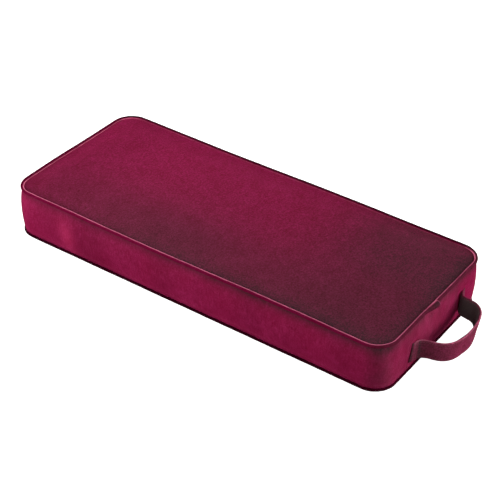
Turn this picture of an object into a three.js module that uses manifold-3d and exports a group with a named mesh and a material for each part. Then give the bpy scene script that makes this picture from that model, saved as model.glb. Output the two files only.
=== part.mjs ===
// Kneeling cushion: a boxed foam pad in a zipped velvet cover, with a carry handle on one end.
// Millimetres, +Z up. The origin is the centre of the underside, which rests at z = 0.
// +X points to the handle end, -Y to the plain long side and +Y to the zipped long side.
import * as THREE from "three";
import { mergeVertices } from "three/addons/utils/BufferGeometryUtils.js";
import Module from "manifold-3d";

// Cover, measured on the centre line of the piping
const SEAM_LENGTH = 508;
const SEAM_WIDTH = 212;
const CORNER_RADIUS = 25;
const PANEL_THICKNESS = 1.7;
const PANEL_INSET = 2.5; // the panels' edges lie this far inside the piping's centre line
const GRIP_THICKNESS = 1.6;
const BOXING_THICKNESS = 1.6;
const BOXING_BOTTOM = 4.5;
const BOXING_TOP = 58.7;
const BOXING_SEAM_OFFSET = 0.4; // outer face of the boxing at its seams, outside the piping's centre line
const SIDE_BULGE = 3.1; // how far the boxing swells at mid height, on the long sides
const PLAIN_END_BULGE = 5.5;
const HANDLE_END_BULGE = 1.2; // the sewn handle holds this end in
const CLEARANCE = 0.3; // gap between pieces that touch

// Piping: a strip folded round a cord, with its two edges lying inwards as the seam allowance
const PIPING_RADIUS = 2;
const PIPING_BORE = 1.4;
const CORD_RADIUS = 1.1;
const FLANGE_REACH = 9;
const LIP_LOW = -1; // the two lips and the slit between them, measured up from the cord's centre
const SLIT_LOW = -0.5;
const SLIT_HIGH = -0.2;
const LIP_HIGH = 0.3;
const TOP_PIPING_Z = 61;
const BOTTOM_PIPING_Z = 2.2;
const TOP_PANEL_Z = 61.6;
const PIPING_JOIN_Y = -2; // where the top piping's ends meet, on the handle end
const PIPING_JOIN_GAP = 0.6;

// Filling: a firm slab with a softer one bonded on top
const FOAM_INSET = 2.4;
const FOAM_BOTTOM = 3.6;
const FOAM_SPLIT = 41;
const FOAM_TOP = 59.6;

// Zip along the middle of the +Y side
const ZIP_Z = (BOXING_BOTTOM + BOXING_TOP) / 2;
const STRIP_HALF_LENGTH = 192.6;
const BOXING_END_X = 193;
const STRIP_OPENING = 4.3; // from the zip's centre line to the folded edge of each velvet strip
const SLOT = 0.6; // half the slot that the slider's post runs in
const COIL_WIDTH = 2;
const COIL_DEPTH = 2.2;
const COIL_START_X = -188;
const COIL_END_X = 186;
const TAPE_HALF_LENGTH = 200;
const TAPE_WIDTH = 12;
const TAPE_THICKNESS = 0.7;
const TAPE_BACK_Y = SEAM_WIDTH / 2 - 0.1;
const COIL_BACK_Y = TAPE_BACK_Y + TAPE_THICKNESS + CLEARANCE;
const COIL_FRONT_Y = COIL_BACK_Y + COIL_DEPTH;
const STOP_LENGTH = 3;
const STOP_REACH = SLOT + COIL_WIDTH + 0.3; // the metal stops are clenched round the coils
const STOP_FRONT_Y = COIL_FRONT_Y + 0.5;
const SLIDER_X = 181; // the slider's place with the zip closed
const SLIDER_LENGTH = 10;
const SLIDER_WING = 1.2; // thickness of its front and back plates
const SLIDER_MOUTH = 3.9; // half its width at the mouth, and at the tail
const SLIDER_TAIL = 3.3;
const SLIDER_TAIL_LENGTH = 3;
const SLIDER_CHEEK = 2.9; // where the side walls that guide the coils start
const CHEEK_GAP = 0.4;
const SLIDER_BACK_HALF = 3.5;
const POST_START = 1.5;
const POST_HALF = 0.3;
const CROWN_HALF = 3.4;
const CROWN_LEG = 1.2;
const CROWN_HOLE = 2.2;

// Pull tab, which turns on a cross bar in the slider's crown
const PULL_LENGTH = 24;
const PULL_WIDTH = 5.2;
const PULL_BAR_RADIUS = 0.6;
const PULL_EYE = 4.6; // the eye round the bar reaches this far, between arms 1 mm wide
const PULL_ARM = 1;
const CORD_SLOT = [2, 5]; // from the tab's free end
const CORD_SLOT_HALF = 0.7;
const MERGE = 0.5; // how far pieces of one solid run into each other
const THROUGH = 1; // how far a cut runs past the metal on each side
const CROWN_THICKNESS = 1.8;

// Handle: a velvet strap lined with webbing, standing on edge in a loop
const STRAP_WIDTH = 24;
const STRAP_HALF_THICKNESS = 1.7;
const STRAP_Z = 23.5; // centre line where the strap leaves the cushion
const STRAP_DROOP = 5.5; // how much lower the far end of the loop hangs
const STRAP_REACH = 32;
const TAB_X = 257.6; // middle of the tabs sewn to the end
const LINING_FACE = -0.4; // strap offsets, measured outwards from its middle: the lining ends here
const VELVET_FACE = -0.1; // and the velvet starts here
const SWING_X = 258; // axis that the loop swings about, parallel to Y
const SWING_RADIUS = 13;

const wasm = await Module();
wasm.setup();

const velvet = new THREE.MeshStandardMaterial({ color: 0x7a1b3d, roughness: 0.85, metalness: 0 });
const webbing = new THREE.MeshStandardMaterial({ color: 0x1d1618, roughness: 0.9, metalness: 0 });
const gripFabric = new THREE.MeshStandardMaterial({ color: 0x211a1c, roughness: 0.95, metalness: 0 });
const firmFoam = new THREE.MeshStandardMaterial({ color: 0xe3ddc8, roughness: 1, metalness: 0 });
const softFoam = new THREE.MeshStandardMaterial({ color: 0xefe6cf, roughness: 1, metalness: 0 });
const cotton = new THREE.MeshStandardMaterial({ color: 0xd8d0c0, roughness: 1, metalness: 0 });
const zipTape = new THREE.MeshStandardMaterial({ color: 0x4b1427, roughness: 0.9, metalness: 0 });
const nylon = new THREE.MeshStandardMaterial({ color: 0x54182c, roughness: 0.5, metalness: 0 });
const metal = new THREE.MeshStandardMaterial({ color: 0x8c8a86, roughness: 0.35, metalness: 1 });

const root = new THREE.Group();

function add(name, geometry, material, position = [0, 0, 0]) {
  const mesh = new THREE.Mesh(geometry, material);
  mesh.name = name;
  mesh.position.set(...position);
  root.add(mesh);
}

// A manifold-3d solid of a closed geometry, and back again
function solid(geometry) {
  const bare = new THREE.BufferGeometry();
  bare.setAttribute("position", geometry.getAttribute("position"));
  if (geometry.index) bare.setIndex(geometry.index);
  const merged = mergeVertices(bare, 1e-4);
  const vertProperties = merged.attributes.position.array;
  const triVerts = new Uint32Array(merged.index.array);
  return new wasm.Manifold(new wasm.Mesh({ numProp: 3, vertProperties, triVerts }));
}

function geometryOf(manifold) {
  const mesh = manifold.getMesh();
  const geometry = new THREE.BufferGeometry();
  geometry.setAttribute("position", new THREE.BufferAttribute(mesh.vertProperties, 3));
  geometry.setIndex(new THREE.BufferAttribute(mesh.triVerts, 1));
  return geometry;
}

// A box given by its lowest and highest corners
function box(low, high) {
  const size = high.map((value, i) => value - low[i]);
  const centre = high.map((value, i) => (value + low[i]) / 2);
  return new THREE.BoxGeometry(...size).translate(...centre);
}

// Stations along one corner of the seam line, each a point with its outward normal
function corner(centreX, centreY, startAngle, steps = 6) {
  const stations = [];
  for (let i = 0; i <= steps; i++) {
    const angle = startAngle + ((Math.PI / 2) * i) / steps;
    const nx = Math.cos(angle);
    const ny = Math.sin(angle);
    stations.push({ x: centreX + CORNER_RADIUS * nx, y: centreY + CORNER_RADIUS * ny, nx, ny, lift: 0 });
  }
  return stations;
}

const CORNER_X = SEAM_LENGTH / 2 - CORNER_RADIUS;
const CORNER_Y = SEAM_WIDTH / 2 - CORNER_RADIUS;
const frontRight = corner(CORNER_X, -CORNER_Y, -Math.PI / 2);
const backRight = corner(CORNER_X, CORNER_Y, 0);
const backLeft = corner(-CORNER_X, CORNER_Y, Math.PI / 2);
const frontLeft = corner(-CORNER_X, -CORNER_Y, Math.PI);

const backStation = (x) => ({ x, y: SEAM_WIDTH / 2, nx: 0, ny: 1, lift: 0 });
const endStation = (side, y) => ({ x: (side * SEAM_LENGTH) / 2, y, nx: side, ny: 0, lift: 0 });

// Sweeps a closed anticlockwise section of [outward, z] points along stations, with flat ends
function sweep(stations, sectionAt) {
  const positions = [];
  const index = [];
  const sections = stations.map(sectionAt);
  const count = sections[0].length;
  stations.forEach((station, i) => {
    for (const [outward, z] of sections[i]) {
      positions.push(station.x + station.nx * outward, station.y + station.ny * outward, z + station.lift);
    }
  });
  for (let i = 0; i < stations.length - 1; i++) {
    for (let j = 0; j < count; j++) {
      const a = i * count + j;
      const b = i * count + ((j + 1) % count);
      index.push(a, a + count, b, b, a + count, b + count);
    }
  }
  const last = (stations.length - 1) * count;
  const outline = sections[0].map(([outward, z]) => new THREE.Vector2(outward, z));
  for (const [a, b, c] of THREE.ShapeUtils.triangulateShape(outline, [])) {
    index.push(a, b, c, last + a, last + c, last + b);
  }
  const geometry = new THREE.BufferGeometry();
  geometry.setAttribute("position", new THREE.Float32BufferAttribute(positions, 3));
  geometry.setIndex(index);
  return geometry;
}

// A flat rounded panel inside the seam line
function panel(inset, bottom, thickness) {
  const shape = new THREE.Shape();
  const radius = CORNER_RADIUS - inset;
  shape.absarc(CORNER_X, -CORNER_Y, radius, -Math.PI / 2, 0);
  shape.absarc(CORNER_X, CORNER_Y, radius, 0, Math.PI / 2);
  shape.absarc(-CORNER_X, CORNER_Y, radius, Math.PI / 2, Math.PI);
  shape.absarc(-CORNER_X, -CORNER_Y, radius, Math.PI, 1.5 * Math.PI);
  const settings = { depth: thickness, bevelEnabled: false, curveSegments: 6 };
  return new THREE.ExtrudeGeometry(shape, settings).translate(0, 0, bottom);
}

// Boxing between two heights: a curved wall that swells most at mid height
function boxingSection(bulge, bottom, top, steps) {
  const outer = [];
  for (let i = 0; i <= steps; i++) {
    const z = bottom + ((top - bottom) * i) / steps;
    const phase = (Math.PI * (z - ZIP_Z)) / (BOXING_TOP - BOXING_BOTTOM);
    outer.push([BOXING_SEAM_OFFSET + bulge * Math.cos(phase), z]);
  }
  const inner = outer.map(([outward, z]) => [outward - BOXING_THICKNESS, z]).reverse();
  return [...outer, ...inner];
}

function bulgeAt(station) {
  const endBulge = station.nx > 0 ? HANDLE_END_BULGE : PLAIN_END_BULGE;
  return SIDE_BULGE + (endBulge - SIDE_BULGE) * station.nx ** 2;
}

function arc(radius, from, to, steps) {
  const points = [];
  for (let i = 0; i <= steps; i++) {
    const angle = from + ((to - from) * i) / steps;
    points.push([radius * Math.cos(angle), radius * Math.sin(angle)]);
  }
  return points;
}

// The folded piping strip: a split tube whose mouth runs into two flat lips
function pipingSection(centreZ, up) {
  const turn = 2 * Math.PI;
  const outerArc = arc(
    PIPING_RADIUS,
    Math.PI - Math.asin(LIP_LOW / PIPING_RADIUS) - turn,
    Math.PI - Math.asin(LIP_HIGH / PIPING_RADIUS),
    9,
  );
  const innerArc = arc(
    PIPING_BORE,
    Math.PI - Math.asin(SLIT_HIGH / PIPING_BORE),
    Math.PI - Math.asin(SLIT_LOW / PIPING_BORE) - turn,
    8,
  );
  const points = [
    [-FLANGE_REACH, LIP_LOW],
    ...outerArc,
    [-FLANGE_REACH, LIP_HIGH],
    [-FLANGE_REACH, SLIT_HIGH],
    ...innerArc,
    [-FLANGE_REACH, SLIT_LOW],
  ].map(([outward, z]) => [outward, centreZ + up * z]);
  return up > 0 ? points : points.reverse();
}

function cover() {
  add("top_panel", panel(PANEL_INSET, TOP_PANEL_Z, PANEL_THICKNESS), velvet);
  add("bottom_panel", panel(PANEL_INSET, 0, GRIP_THICKNESS), gripFabric);
  const path = [
    backStation(-BOXING_END_X),
    ...backLeft,
    ...frontLeft,
    ...frontRight,
    ...backRight,
    backStation(BOXING_END_X),
  ];
  const section = (station) => boxingSection(bulgeAt(station), BOXING_BOTTOM, BOXING_TOP, 6);
  add("boxing_strip", sweep(path, section), velvet);
}

function piping() {
  const half = PIPING_JOIN_GAP / 2;
  const topPath = [
    endStation(1, PIPING_JOIN_Y + half),
    ...backRight,
    ...backLeft,
    ...frontLeft,
    ...frontRight,
    endStation(1, PIPING_JOIN_Y - half),
  ];
  const bottomPath = [
    endStation(-1, -half),
    ...frontLeft,
    ...frontRight,
    ...backRight,
    ...backLeft,
    endStation(-1, half),
  ];
  const cordSection = (centreZ) => () =>
    arc(CORD_RADIUS, 0, 1.75 * Math.PI, 7).map(([outward, z]) => [outward, centreZ + z]);
  add("top_piping", sweep(topPath, () => pipingSection(TOP_PIPING_Z, 1)), velvet);
  add("top_piping_cord", sweep(topPath, cordSection(TOP_PIPING_Z)), cotton);
  add("bottom_piping", sweep(bottomPath, () => pipingSection(BOTTOM_PIPING_Z, -1)), velvet);
  add("bottom_piping_cord", sweep(bottomPath, cordSection(BOTTOM_PIPING_Z)), cotton);
}

function filling() {
  add("base_foam", panel(FOAM_INSET, FOAM_BOTTOM, FOAM_SPLIT - FOAM_BOTTOM), firmFoam);
  const softBottom = FOAM_SPLIT + CLEARANCE;
  add("comfort_foam", panel(FOAM_INSET, softBottom, FOAM_TOP - softBottom), softFoam);
}

// One side of the zip: velvet strip, tape, coil and top stop. side is +1 above the centre line
function zipSide(side, name) {
  const near = ZIP_Z + side * STRIP_OPENING;
  const far = side > 0 ? BOXING_TOP : BOXING_BOTTOM;
  const stripPath = [backStation(STRIP_HALF_LENGTH), backStation(-STRIP_HALF_LENGTH)];
  const strip = () => boxingSection(SIDE_BULGE, Math.min(near, far), Math.max(near, far), 3);
  add("zipper_strip_" + name, sweep(stripPath, strip), velvet);

  const span = (from, to) => [ZIP_Z + side * from, ZIP_Z + side * to].sort((a, b) => a - b);
  const [tapeLow, tapeHigh] = span(SLOT, SLOT + TAPE_WIDTH);
  const tape = box(
    [-TAPE_HALF_LENGTH, TAPE_BACK_Y, tapeLow],
    [TAPE_HALF_LENGTH, TAPE_BACK_Y + TAPE_THICKNESS, tapeHigh],
  );
  add("zipper_tape_" + name, tape, zipTape);

  // The coil is a bar with a round front
  const coilZ = ZIP_Z + side * (SLOT + COIL_WIDTH / 2);
  const radius = COIL_WIDTH / 2;
  const dome = arc(radius, -Math.PI / 2, Math.PI / 2, 5);
  const section = [[radius - COIL_DEPTH, -radius], ...dome, [radius - COIL_DEPTH, radius]].map(
    ([depth, z]) => [COIL_FRONT_Y - SEAM_WIDTH / 2 - radius + depth, coilZ + z],
  );
  const coilPath = [backStation(COIL_END_X), backStation(COIL_START_X)];
  add("zipper_coil_" + name, sweep(coilPath, () => section), nylon);

  const [stopLow, stopHigh] = span(SLOT, STOP_REACH);
  const stopStart = COIL_END_X + CLEARANCE;
  const stop = box(
    [stopStart, COIL_BACK_Y, stopLow],
    [stopStart + STOP_LENGTH, STOP_FRONT_Y, stopHigh],
  );
  add("zipper_top_stop_" + name, stop, metal);
}

function slider() {
  const half = SLIDER_LENGTH / 2;
  const tailEnd = -half + SLIDER_TAIL_LENGTH;
  const wingY = COIL_FRONT_Y + CLEARANCE;
  const wingTop = wingY + SLIDER_WING;
  const backTop = TAPE_BACK_Y - CLEARANCE;
  const cheekY = COIL_BACK_Y + CHEEK_GAP;
  const ordered = (a, b) => (a < b ? [a, b] : [b, a]);
  let body = solid(box([-half, wingY, -SLIDER_MOUTH], [half, wingTop, SLIDER_MOUTH]));
  for (const side of [-1, 1]) {
    // the tail of the wing is narrower than its mouth
    const [low, high] = ordered(side * SLIDER_TAIL, side * (SLIDER_MOUTH + THROUGH));
    const trim = box([-half - THROUGH, wingY - THROUGH, low], [tailEnd, wingTop + THROUGH, high]);
    body = body.subtract(solid(trim));
    const [cheekLow, cheekHigh] = ordered(side * SLIDER_CHEEK, side * SLIDER_MOUTH);
    body = body.add(solid(box([tailEnd, cheekY, cheekLow], [half, wingTop, cheekHigh])));
  }
  const back = box([-half, backTop - SLIDER_WING, -SLIDER_BACK_HALF], [half, backTop, SLIDER_BACK_HALF]);
  const post = box([POST_START, backTop - MERGE, -POST_HALF], [half, wingTop, POST_HALF]);
  const thick = CROWN_THICKNESS / 2;
  const crownTop = wingTop + CROWN_HOLE + CROWN_LEG;
  const crown = box([-CROWN_HALF, wingTop - MERGE, -thick], [CROWN_HALF, crownTop, thick]);
  body = body.add(solid(back)).add(solid(post)).add(solid(crown));
  const holeHalf = CROWN_HALF - CROWN_LEG;
  const hole = box(
    [-holeHalf, wingTop, -thick - THROUGH],
    [holeHalf, wingTop + CROWN_HOLE, thick + THROUGH],
  );
  body = body.subtract(solid(hole));
  add("zipper_slider", geometryOf(body), metal, [SLIDER_X, 0, ZIP_Z]);

  // Pull tab at rest: lying along -X over the slider's tail
  const barY = wingTop + CROWN_HOLE / 2;
  const bar = PULL_BAR_RADIUS;
  const halfWidth = PULL_WIDTH / 2;
  const armInner = halfWidth - PULL_ARM;
  const tab = solid(box([-PULL_LENGTH, barY - bar, -halfWidth], [bar, barY + bar, halfWidth]));
  const eye = box([-PULL_EYE, barY - THROUGH, -armInner], [-bar, barY + THROUGH, armInner]);
  const [slotStart, slotEnd] = CORD_SLOT.map((distance) => distance - PULL_LENGTH);
  const slot = box(
    [slotStart, barY - THROUGH, -CORD_SLOT_HALF],
    [slotEnd, barY + THROUGH, CORD_SLOT_HALF],
  );
  const cut = tab.subtract(solid(eye)).subtract(solid(slot));
  add("zipper_pull", geometryOf(cut), metal, [SLIDER_X, 0, ZIP_Z]);
}

function zip() {
  zipSide(1, "upper");
  zipSide(-1, "lower");
  const stopEnd = COIL_START_X - CLEARANCE;
  const stop = box(
    [stopEnd - STOP_LENGTH, COIL_BACK_Y, ZIP_Z - STOP_REACH],
    [stopEnd, STOP_FRONT_Y, ZIP_Z + STOP_REACH],
  );
  add("zipper_bottom_stop", stop, metal);
  slider();
}

// Plan of the handle strap's middle: sewn tab, loop, then the other sewn tab. Both tabs point away from the loop
function strapStations() {
  const plan = [
    [TAB_X, -54],
    [TAB_X, -44],
    [258.4, -38.5],
    [261.5, -34],
    [267, -30.6],
    [274.5, -28],
    [281.5, -23.2],
    [286.4, -14.5],
    [289.2, -3],
    [290.2, 9.5],
    [289.3, 22],
    [286.4, 34],
    [281.8, 42.2],
    [275.4, 46],
    [268.4, 46.8],
    [262.8, 47.8],
    [259, 50.8],
    [TAB_X, 55.4],
    [TAB_X, 64],
  ].map(([x, y]) => new THREE.Vector3(x, y, 0));
  const curve = new THREE.CatmullRomCurve3(plan, false, "centripetal");
  const steps = 52;
  const stations = [];
  for (let i = 0; i <= steps; i++) {
    const point = curve.getPointAt(i / steps);
    const tangent = curve.getTangentAt(i / steps);
    const lift = (-STRAP_DROOP * Math.max(0, point.x - SWING_X)) / STRAP_REACH;
    stations.push({ x: point.x, y: point.y, nx: tangent.y, ny: -tangent.x, lift });
  }
  return stations;
}

function strapLayer(stations, inner, outer) {
  const low = STRAP_Z - STRAP_WIDTH / 2;
  const high = STRAP_Z + STRAP_WIDTH / 2;
  return solid(sweep(stations, () => [[inner, low], [outer, low], [outer, high], [inner, high]]));
}

function handle() {
  const stations = strapStations();
  const middle = Math.round(stations.length / 2);
  const drum = (radius) =>
    solid(new THREE.CylinderGeometry(radius, radius, SEAM_WIDTH, 48).translate(SWING_X, 0, STRAP_Z));
  const knuckle = drum(SWING_RADIUS);
  const clear = drum(SWING_RADIUS + CLEARANCE);
  const half = STRAP_HALF_THICKNESS;
  const frontEnd = strapLayer(stations.slice(0, middle), -half, half).intersect(knuckle);
  const rearEnd = strapLayer(stations.slice(middle), -half, half).intersect(knuckle);
  add("handle_front_end", geometryOf(frontEnd), velvet);
  add("handle_rear_end", geometryOf(rearEnd), velvet);
  const velvetLoop = strapLayer(stations, VELVET_FACE, half).subtract(clear);
  const liningLoop = strapLayer(stations, -half, LINING_FACE).subtract(clear);
  add("handle_loop", geometryOf(velvetLoop), velvet);
  add("handle_lining", geometryOf(liningLoop), webbing);
}

cover();
piping();
filling();
zip();
handle();

export default root;
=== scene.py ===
"""Looks of a kneeling cushion: a boxed foam pad in a zipped velvet cover, with a carry handle on one end.

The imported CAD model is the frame. Lengths are in metres, with +X to the handle end and +Y to the zipped side.
"""

import functools
import math

import bmesh
import bpy
import numpy as np
from mathutils import Matrix, Vector


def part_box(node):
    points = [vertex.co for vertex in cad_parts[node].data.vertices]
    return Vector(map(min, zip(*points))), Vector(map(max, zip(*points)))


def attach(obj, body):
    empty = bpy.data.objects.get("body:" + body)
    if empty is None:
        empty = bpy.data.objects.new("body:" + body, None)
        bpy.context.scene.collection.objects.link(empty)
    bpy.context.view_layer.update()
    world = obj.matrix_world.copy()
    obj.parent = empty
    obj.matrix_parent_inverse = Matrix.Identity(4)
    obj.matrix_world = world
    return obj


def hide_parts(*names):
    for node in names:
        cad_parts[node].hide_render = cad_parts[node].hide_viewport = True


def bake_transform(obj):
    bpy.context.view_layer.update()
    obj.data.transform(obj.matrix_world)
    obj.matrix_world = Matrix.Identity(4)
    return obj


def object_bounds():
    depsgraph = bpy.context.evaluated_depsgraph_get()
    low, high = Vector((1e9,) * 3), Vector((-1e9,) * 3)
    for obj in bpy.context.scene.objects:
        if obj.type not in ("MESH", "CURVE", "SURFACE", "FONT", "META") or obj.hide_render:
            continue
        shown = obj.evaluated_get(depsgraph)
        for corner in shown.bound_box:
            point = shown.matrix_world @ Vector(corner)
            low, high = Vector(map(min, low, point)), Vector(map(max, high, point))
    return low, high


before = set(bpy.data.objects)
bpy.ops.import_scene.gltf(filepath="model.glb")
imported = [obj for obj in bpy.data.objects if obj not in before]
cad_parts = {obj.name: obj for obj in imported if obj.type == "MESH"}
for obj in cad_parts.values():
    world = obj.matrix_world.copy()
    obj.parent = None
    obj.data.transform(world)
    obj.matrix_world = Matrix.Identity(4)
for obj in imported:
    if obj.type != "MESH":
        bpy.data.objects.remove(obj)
cad_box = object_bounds()

MM = 0.001
BODY = "cushion"

# The seam line is the centre line of the piping
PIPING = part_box("top_piping")
PIPING_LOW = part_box("bottom_piping")
PIPING_RADIUS = (PIPING[1].z - PIPING[0].z) / 2
SEAM_X = PIPING[1].x - PIPING_RADIUS
SEAM_Y = PIPING[1].y - PIPING_RADIUS
SEAM_TOP = (PIPING[0].z + PIPING[1].z) / 2
SEAM_BOTTOM = (PIPING_LOW[0].z + PIPING_LOW[1].z) / 2
CORNER_RADIUS = 25 * MM

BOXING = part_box("boxing_strip")
BOXING_HEIGHT = BOXING[1].z - BOXING[0].z
BOXING_SEAM_OFFSET = 0.4 * MM
BOXING_THICKNESS = 1.6 * MM
PANEL_THICKNESS = 1.36 * MM
PANEL_INSET = 2.0 * MM  # where the panels come up beside the piping
SHOULDER_WIDTH = 11 * MM
SHOULDER_RISE = 1.3 * MM
CROWN_RISE = 0.8 * MM

ZIP_Z = (BOXING[0].z + BOXING[1].z) / 2


# Lines and curves ------------------------------------------------------------------------------------

def smooth(t):
    t = np.clip(t, 0, 1)
    return t * t * (3 - 2 * t)


def hill(x, centre, width, power=2):
    """1 at the centre, falling smoothly to 0 over about two widths."""
    return np.exp(-(np.abs((x - centre) / width) ** power))


def unit(rows):
    """Vectors along the last axis, scaled to length 1."""
    return rows / np.linalg.norm(rows, axis=-1, keepdims=True)


def run_along(points):
    """The distance along a line of points, at each point."""
    return np.r_[0, np.cumsum(np.linalg.norm(np.diff(points, axis=0), axis=1))]


def sampled(places, run, rows):
    """Rows interpolated at places along their run."""
    return np.column_stack([np.interp(places, run, column) for column in rows.T])


def circle(sides):
    return np.linspace(0, 2 * np.pi, sides, endpoint=False)


def stacked(*columns):
    """Values that broadcast together, side by side along a new last axis."""
    return np.stack(np.broadcast_arrays(*columns), axis=-1)


CORNER_POINTS = 33
TABLE_STEP = 1 * MM
SEARCH_CHUNK = 400  # points looked up at a time, to save memory


def seam_table():
    """Points and outward normals all round the seam line, anticlockwise from the middle of the +X end."""
    cx, cy = SEAM_X - CORNER_RADIUS, SEAM_Y - CORNER_RADIUS
    rows = [(SEAM_X, 0, 1, 0)]
    for start, sx, sy in ((0, 1, 1), (90, -1, 1), (180, -1, -1), (270, 1, -1)):
        for angle in np.radians(np.linspace(start, start + 90, CORNER_POINTS)):
            nx, ny = math.cos(angle), math.sin(angle)
            rows.append((sx * cx + CORNER_RADIUS * nx, sy * cy + CORNER_RADIUS * ny, nx, ny))
    rows.append((SEAM_X, 0, 1, 0))
    rows = np.array(rows)
    run = run_along(rows[:, :2])
    even = np.linspace(0, run[-1], round(run[-1] / TABLE_STEP) + 1)
    return even, sampled(even, run, rows)


SEAM_S, SEAM_ROWS = seam_table()
SEAM_LENGTH = SEAM_S[-1]


def seam_at(s):
    """x, y and the outward normal at distances s along the seam line."""
    s = np.mod(s, SEAM_LENGTH)
    return [np.interp(s, SEAM_S, column) for column in SEAM_ROWS.T]


def seam_place(x, y):
    """The distance along the seam line of the point on it that is nearest to each x, y."""
    x, y = np.atleast_1d(x), np.atleast_1d(y)
    flat = np.column_stack([x.ravel(), y.ravel()])
    found = [
        np.argmin(((part[:, None] - SEAM_ROWS[None, :, :2]) ** 2).sum(2), axis=1)
        for part in np.array_split(flat, len(flat) // SEARCH_CHUNK + 1)
    ]
    return SEAM_S[np.concatenate(found)].reshape(x.shape)


def seam_depth(x, y):
    """How far inside the seam line a point is."""
    qx = np.abs(x) - (SEAM_X - CORNER_RADIUS)
    qy = np.abs(y) - (SEAM_Y - CORNER_RADIUS)
    outside = np.hypot(np.maximum(qx, 0), np.maximum(qy, 0))
    return CORNER_RADIUS - outside - np.minimum(np.maximum(qx, qy), 0)


def seam_wave(s):
    """How far the top seam rises and falls along its length."""
    x, y, nx, ny = seam_at(s)
    front = 0.8 * MM * np.cos(2 * np.pi * (x + 227 * MM) / (335 * MM)) * np.maximum(-ny, 0) ** 2
    back = 0.5 * MM * np.cos(2 * np.pi * (x - 60 * MM) / (290 * MM)) * np.maximum(ny, 0) ** 2
    ends = 0.35 * MM * np.cos(2 * np.pi * (y + 30 * MM) / (150 * MM)) * nx**2
    return front + back + ends


# Meshes ----------------------------------------------------------------------------------------------

def added(name, data):
    """An object of the data, in the scene."""
    made = bpy.data.objects.new(name, data)
    bpy.context.scene.collection.objects.link(made)
    return made


def mesh_object(name, points, faces, material, body=BODY, sharp=None):
    """A smooth-shaded piece from points and faces. With sharp, edges over that many degrees stay sharp."""
    data = bpy.data.meshes.new(name)
    data.from_pydata([tuple(p) for p in points], [], faces)
    data.validate()
    data.polygons.foreach_set("use_smooth", [True] * len(data.polygons))
    if sharp:
        data.set_sharp_from_angle(angle=math.radians(sharp))
    data.materials.append(material)
    piece = added(name, data)
    if body:
        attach(piece, body)
    return piece


def store(piece, name, *columns):
    """Stores three values on every point, for the materials to read.

    "weave" holds the distances along and across the yarn. The velvet's other stored values are painted light: a
    painted highlight and sheen, painted shade, and painted light and shade that lightens or darkens the pile,
    with some random pile variation on the sides."""
    attribute = piece.data.attributes.new(name, "FLOAT_VECTOR", "POINT")
    attribute.data.foreach_set("vector", stacked(*columns).ravel())


def grid_faces(rows, columns, closed=False, start=0, flip=False):
    """Quads over a rows by columns grid of points that starts at index start. A closed one is a tube."""
    faces = []
    for i in range(rows - 1):
        for j in range(columns if closed else columns - 1):
            j2 = (j + 1) % columns
            quad = [i * columns + j, (i + 1) * columns + j, (i + 1) * columns + j2, i * columns + j2]
            faces.append([start + k for k in (reversed(quad) if flip else quad)])
    return faces


def wall_faces(low, high):
    """Quads between two closed loops of indices."""
    return [list(quad) for quad in zip(low, [*low[1:], low[0]], [*high[1:], high[0]], high)]


def grid_rim(rows, columns):
    """Indices round the edge of a grid, in the direction in which its faces run."""
    bottom = [i * columns for i in range(rows)]
    right = [(rows - 1) * columns + j for j in range(1, columns)]
    top = [i * columns + columns - 1 for i in range(rows - 2, -1, -1)]
    left = [j for j in range(columns - 2, 0, -1)]
    return bottom + right + top + left


def sheet_values(values):
    """Values on a grid, repeated for every point of the sheet_mesh made from that grid."""
    flat = values.ravel()
    return np.r_[flat, flat, flat[grid_rim(*values.shape)]]


def sheet_mesh(outer, thickness):
    """Points and faces of a sheet with rounded edges: a grid of points, and one moved in by thickness."""
    rows, columns = outer.shape[:2]
    across, along = np.gradient(outer, axis=1), np.gradient(outer, axis=0)
    normals = unit(np.cross(along, across)).reshape(-1, 3)
    outer = outer.reshape(-1, 3)
    inner = outer - normals * thickness
    rim = grid_rim(rows, columns)
    middle = (outer[rim] + inner[rim]) / 2
    following = np.roll(middle, -1, axis=0) - np.roll(middle, 1, axis=0)
    middle = middle + unit(np.cross(following, normals[rim])) * 0.35 * thickness
    points = np.vstack([outer, inner, middle])
    count = len(outer)
    edge = [2 * count + k for k in range(len(rim))]
    faces = grid_faces(rows, columns) + grid_faces(rows, columns, start=count, flip=True)
    return points, faces + wall_faces(edge, rim) + wall_faces([count + k for k in rim], edge)


def sweep_mesh(sections):
    """Points and faces of a tube whose sections are rows of points, with closed ends."""
    rows, columns = sections.shape[:2]
    faces = grid_faces(rows, columns, closed=True)
    faces.append(list(range(columns)))
    faces.append(list(reversed(range((rows - 1) * columns, rows * columns))))
    return sections.reshape(-1, 3), faces


def rings(centres, first, second, radii, sides):
    """Round sections about centres, each in the plane of its first and second directions."""
    angles = circle(sides)[None, :, None]
    spokes = np.cos(angles) * first[:, None] + np.sin(angles) * second[:, None]
    return centres[:, None] + spokes * radii[:, None, None]


def joined(parts):
    """Points and faces of several closed bodies as one mesh."""
    points, faces = [], []
    for more_points, more_faces in parts:
        faces += [[len(points) + k for k in face] for face in more_faces]
        points += list(more_points)
    return points, faces


# Materials -------------------------------------------------------------------------------------------

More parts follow.
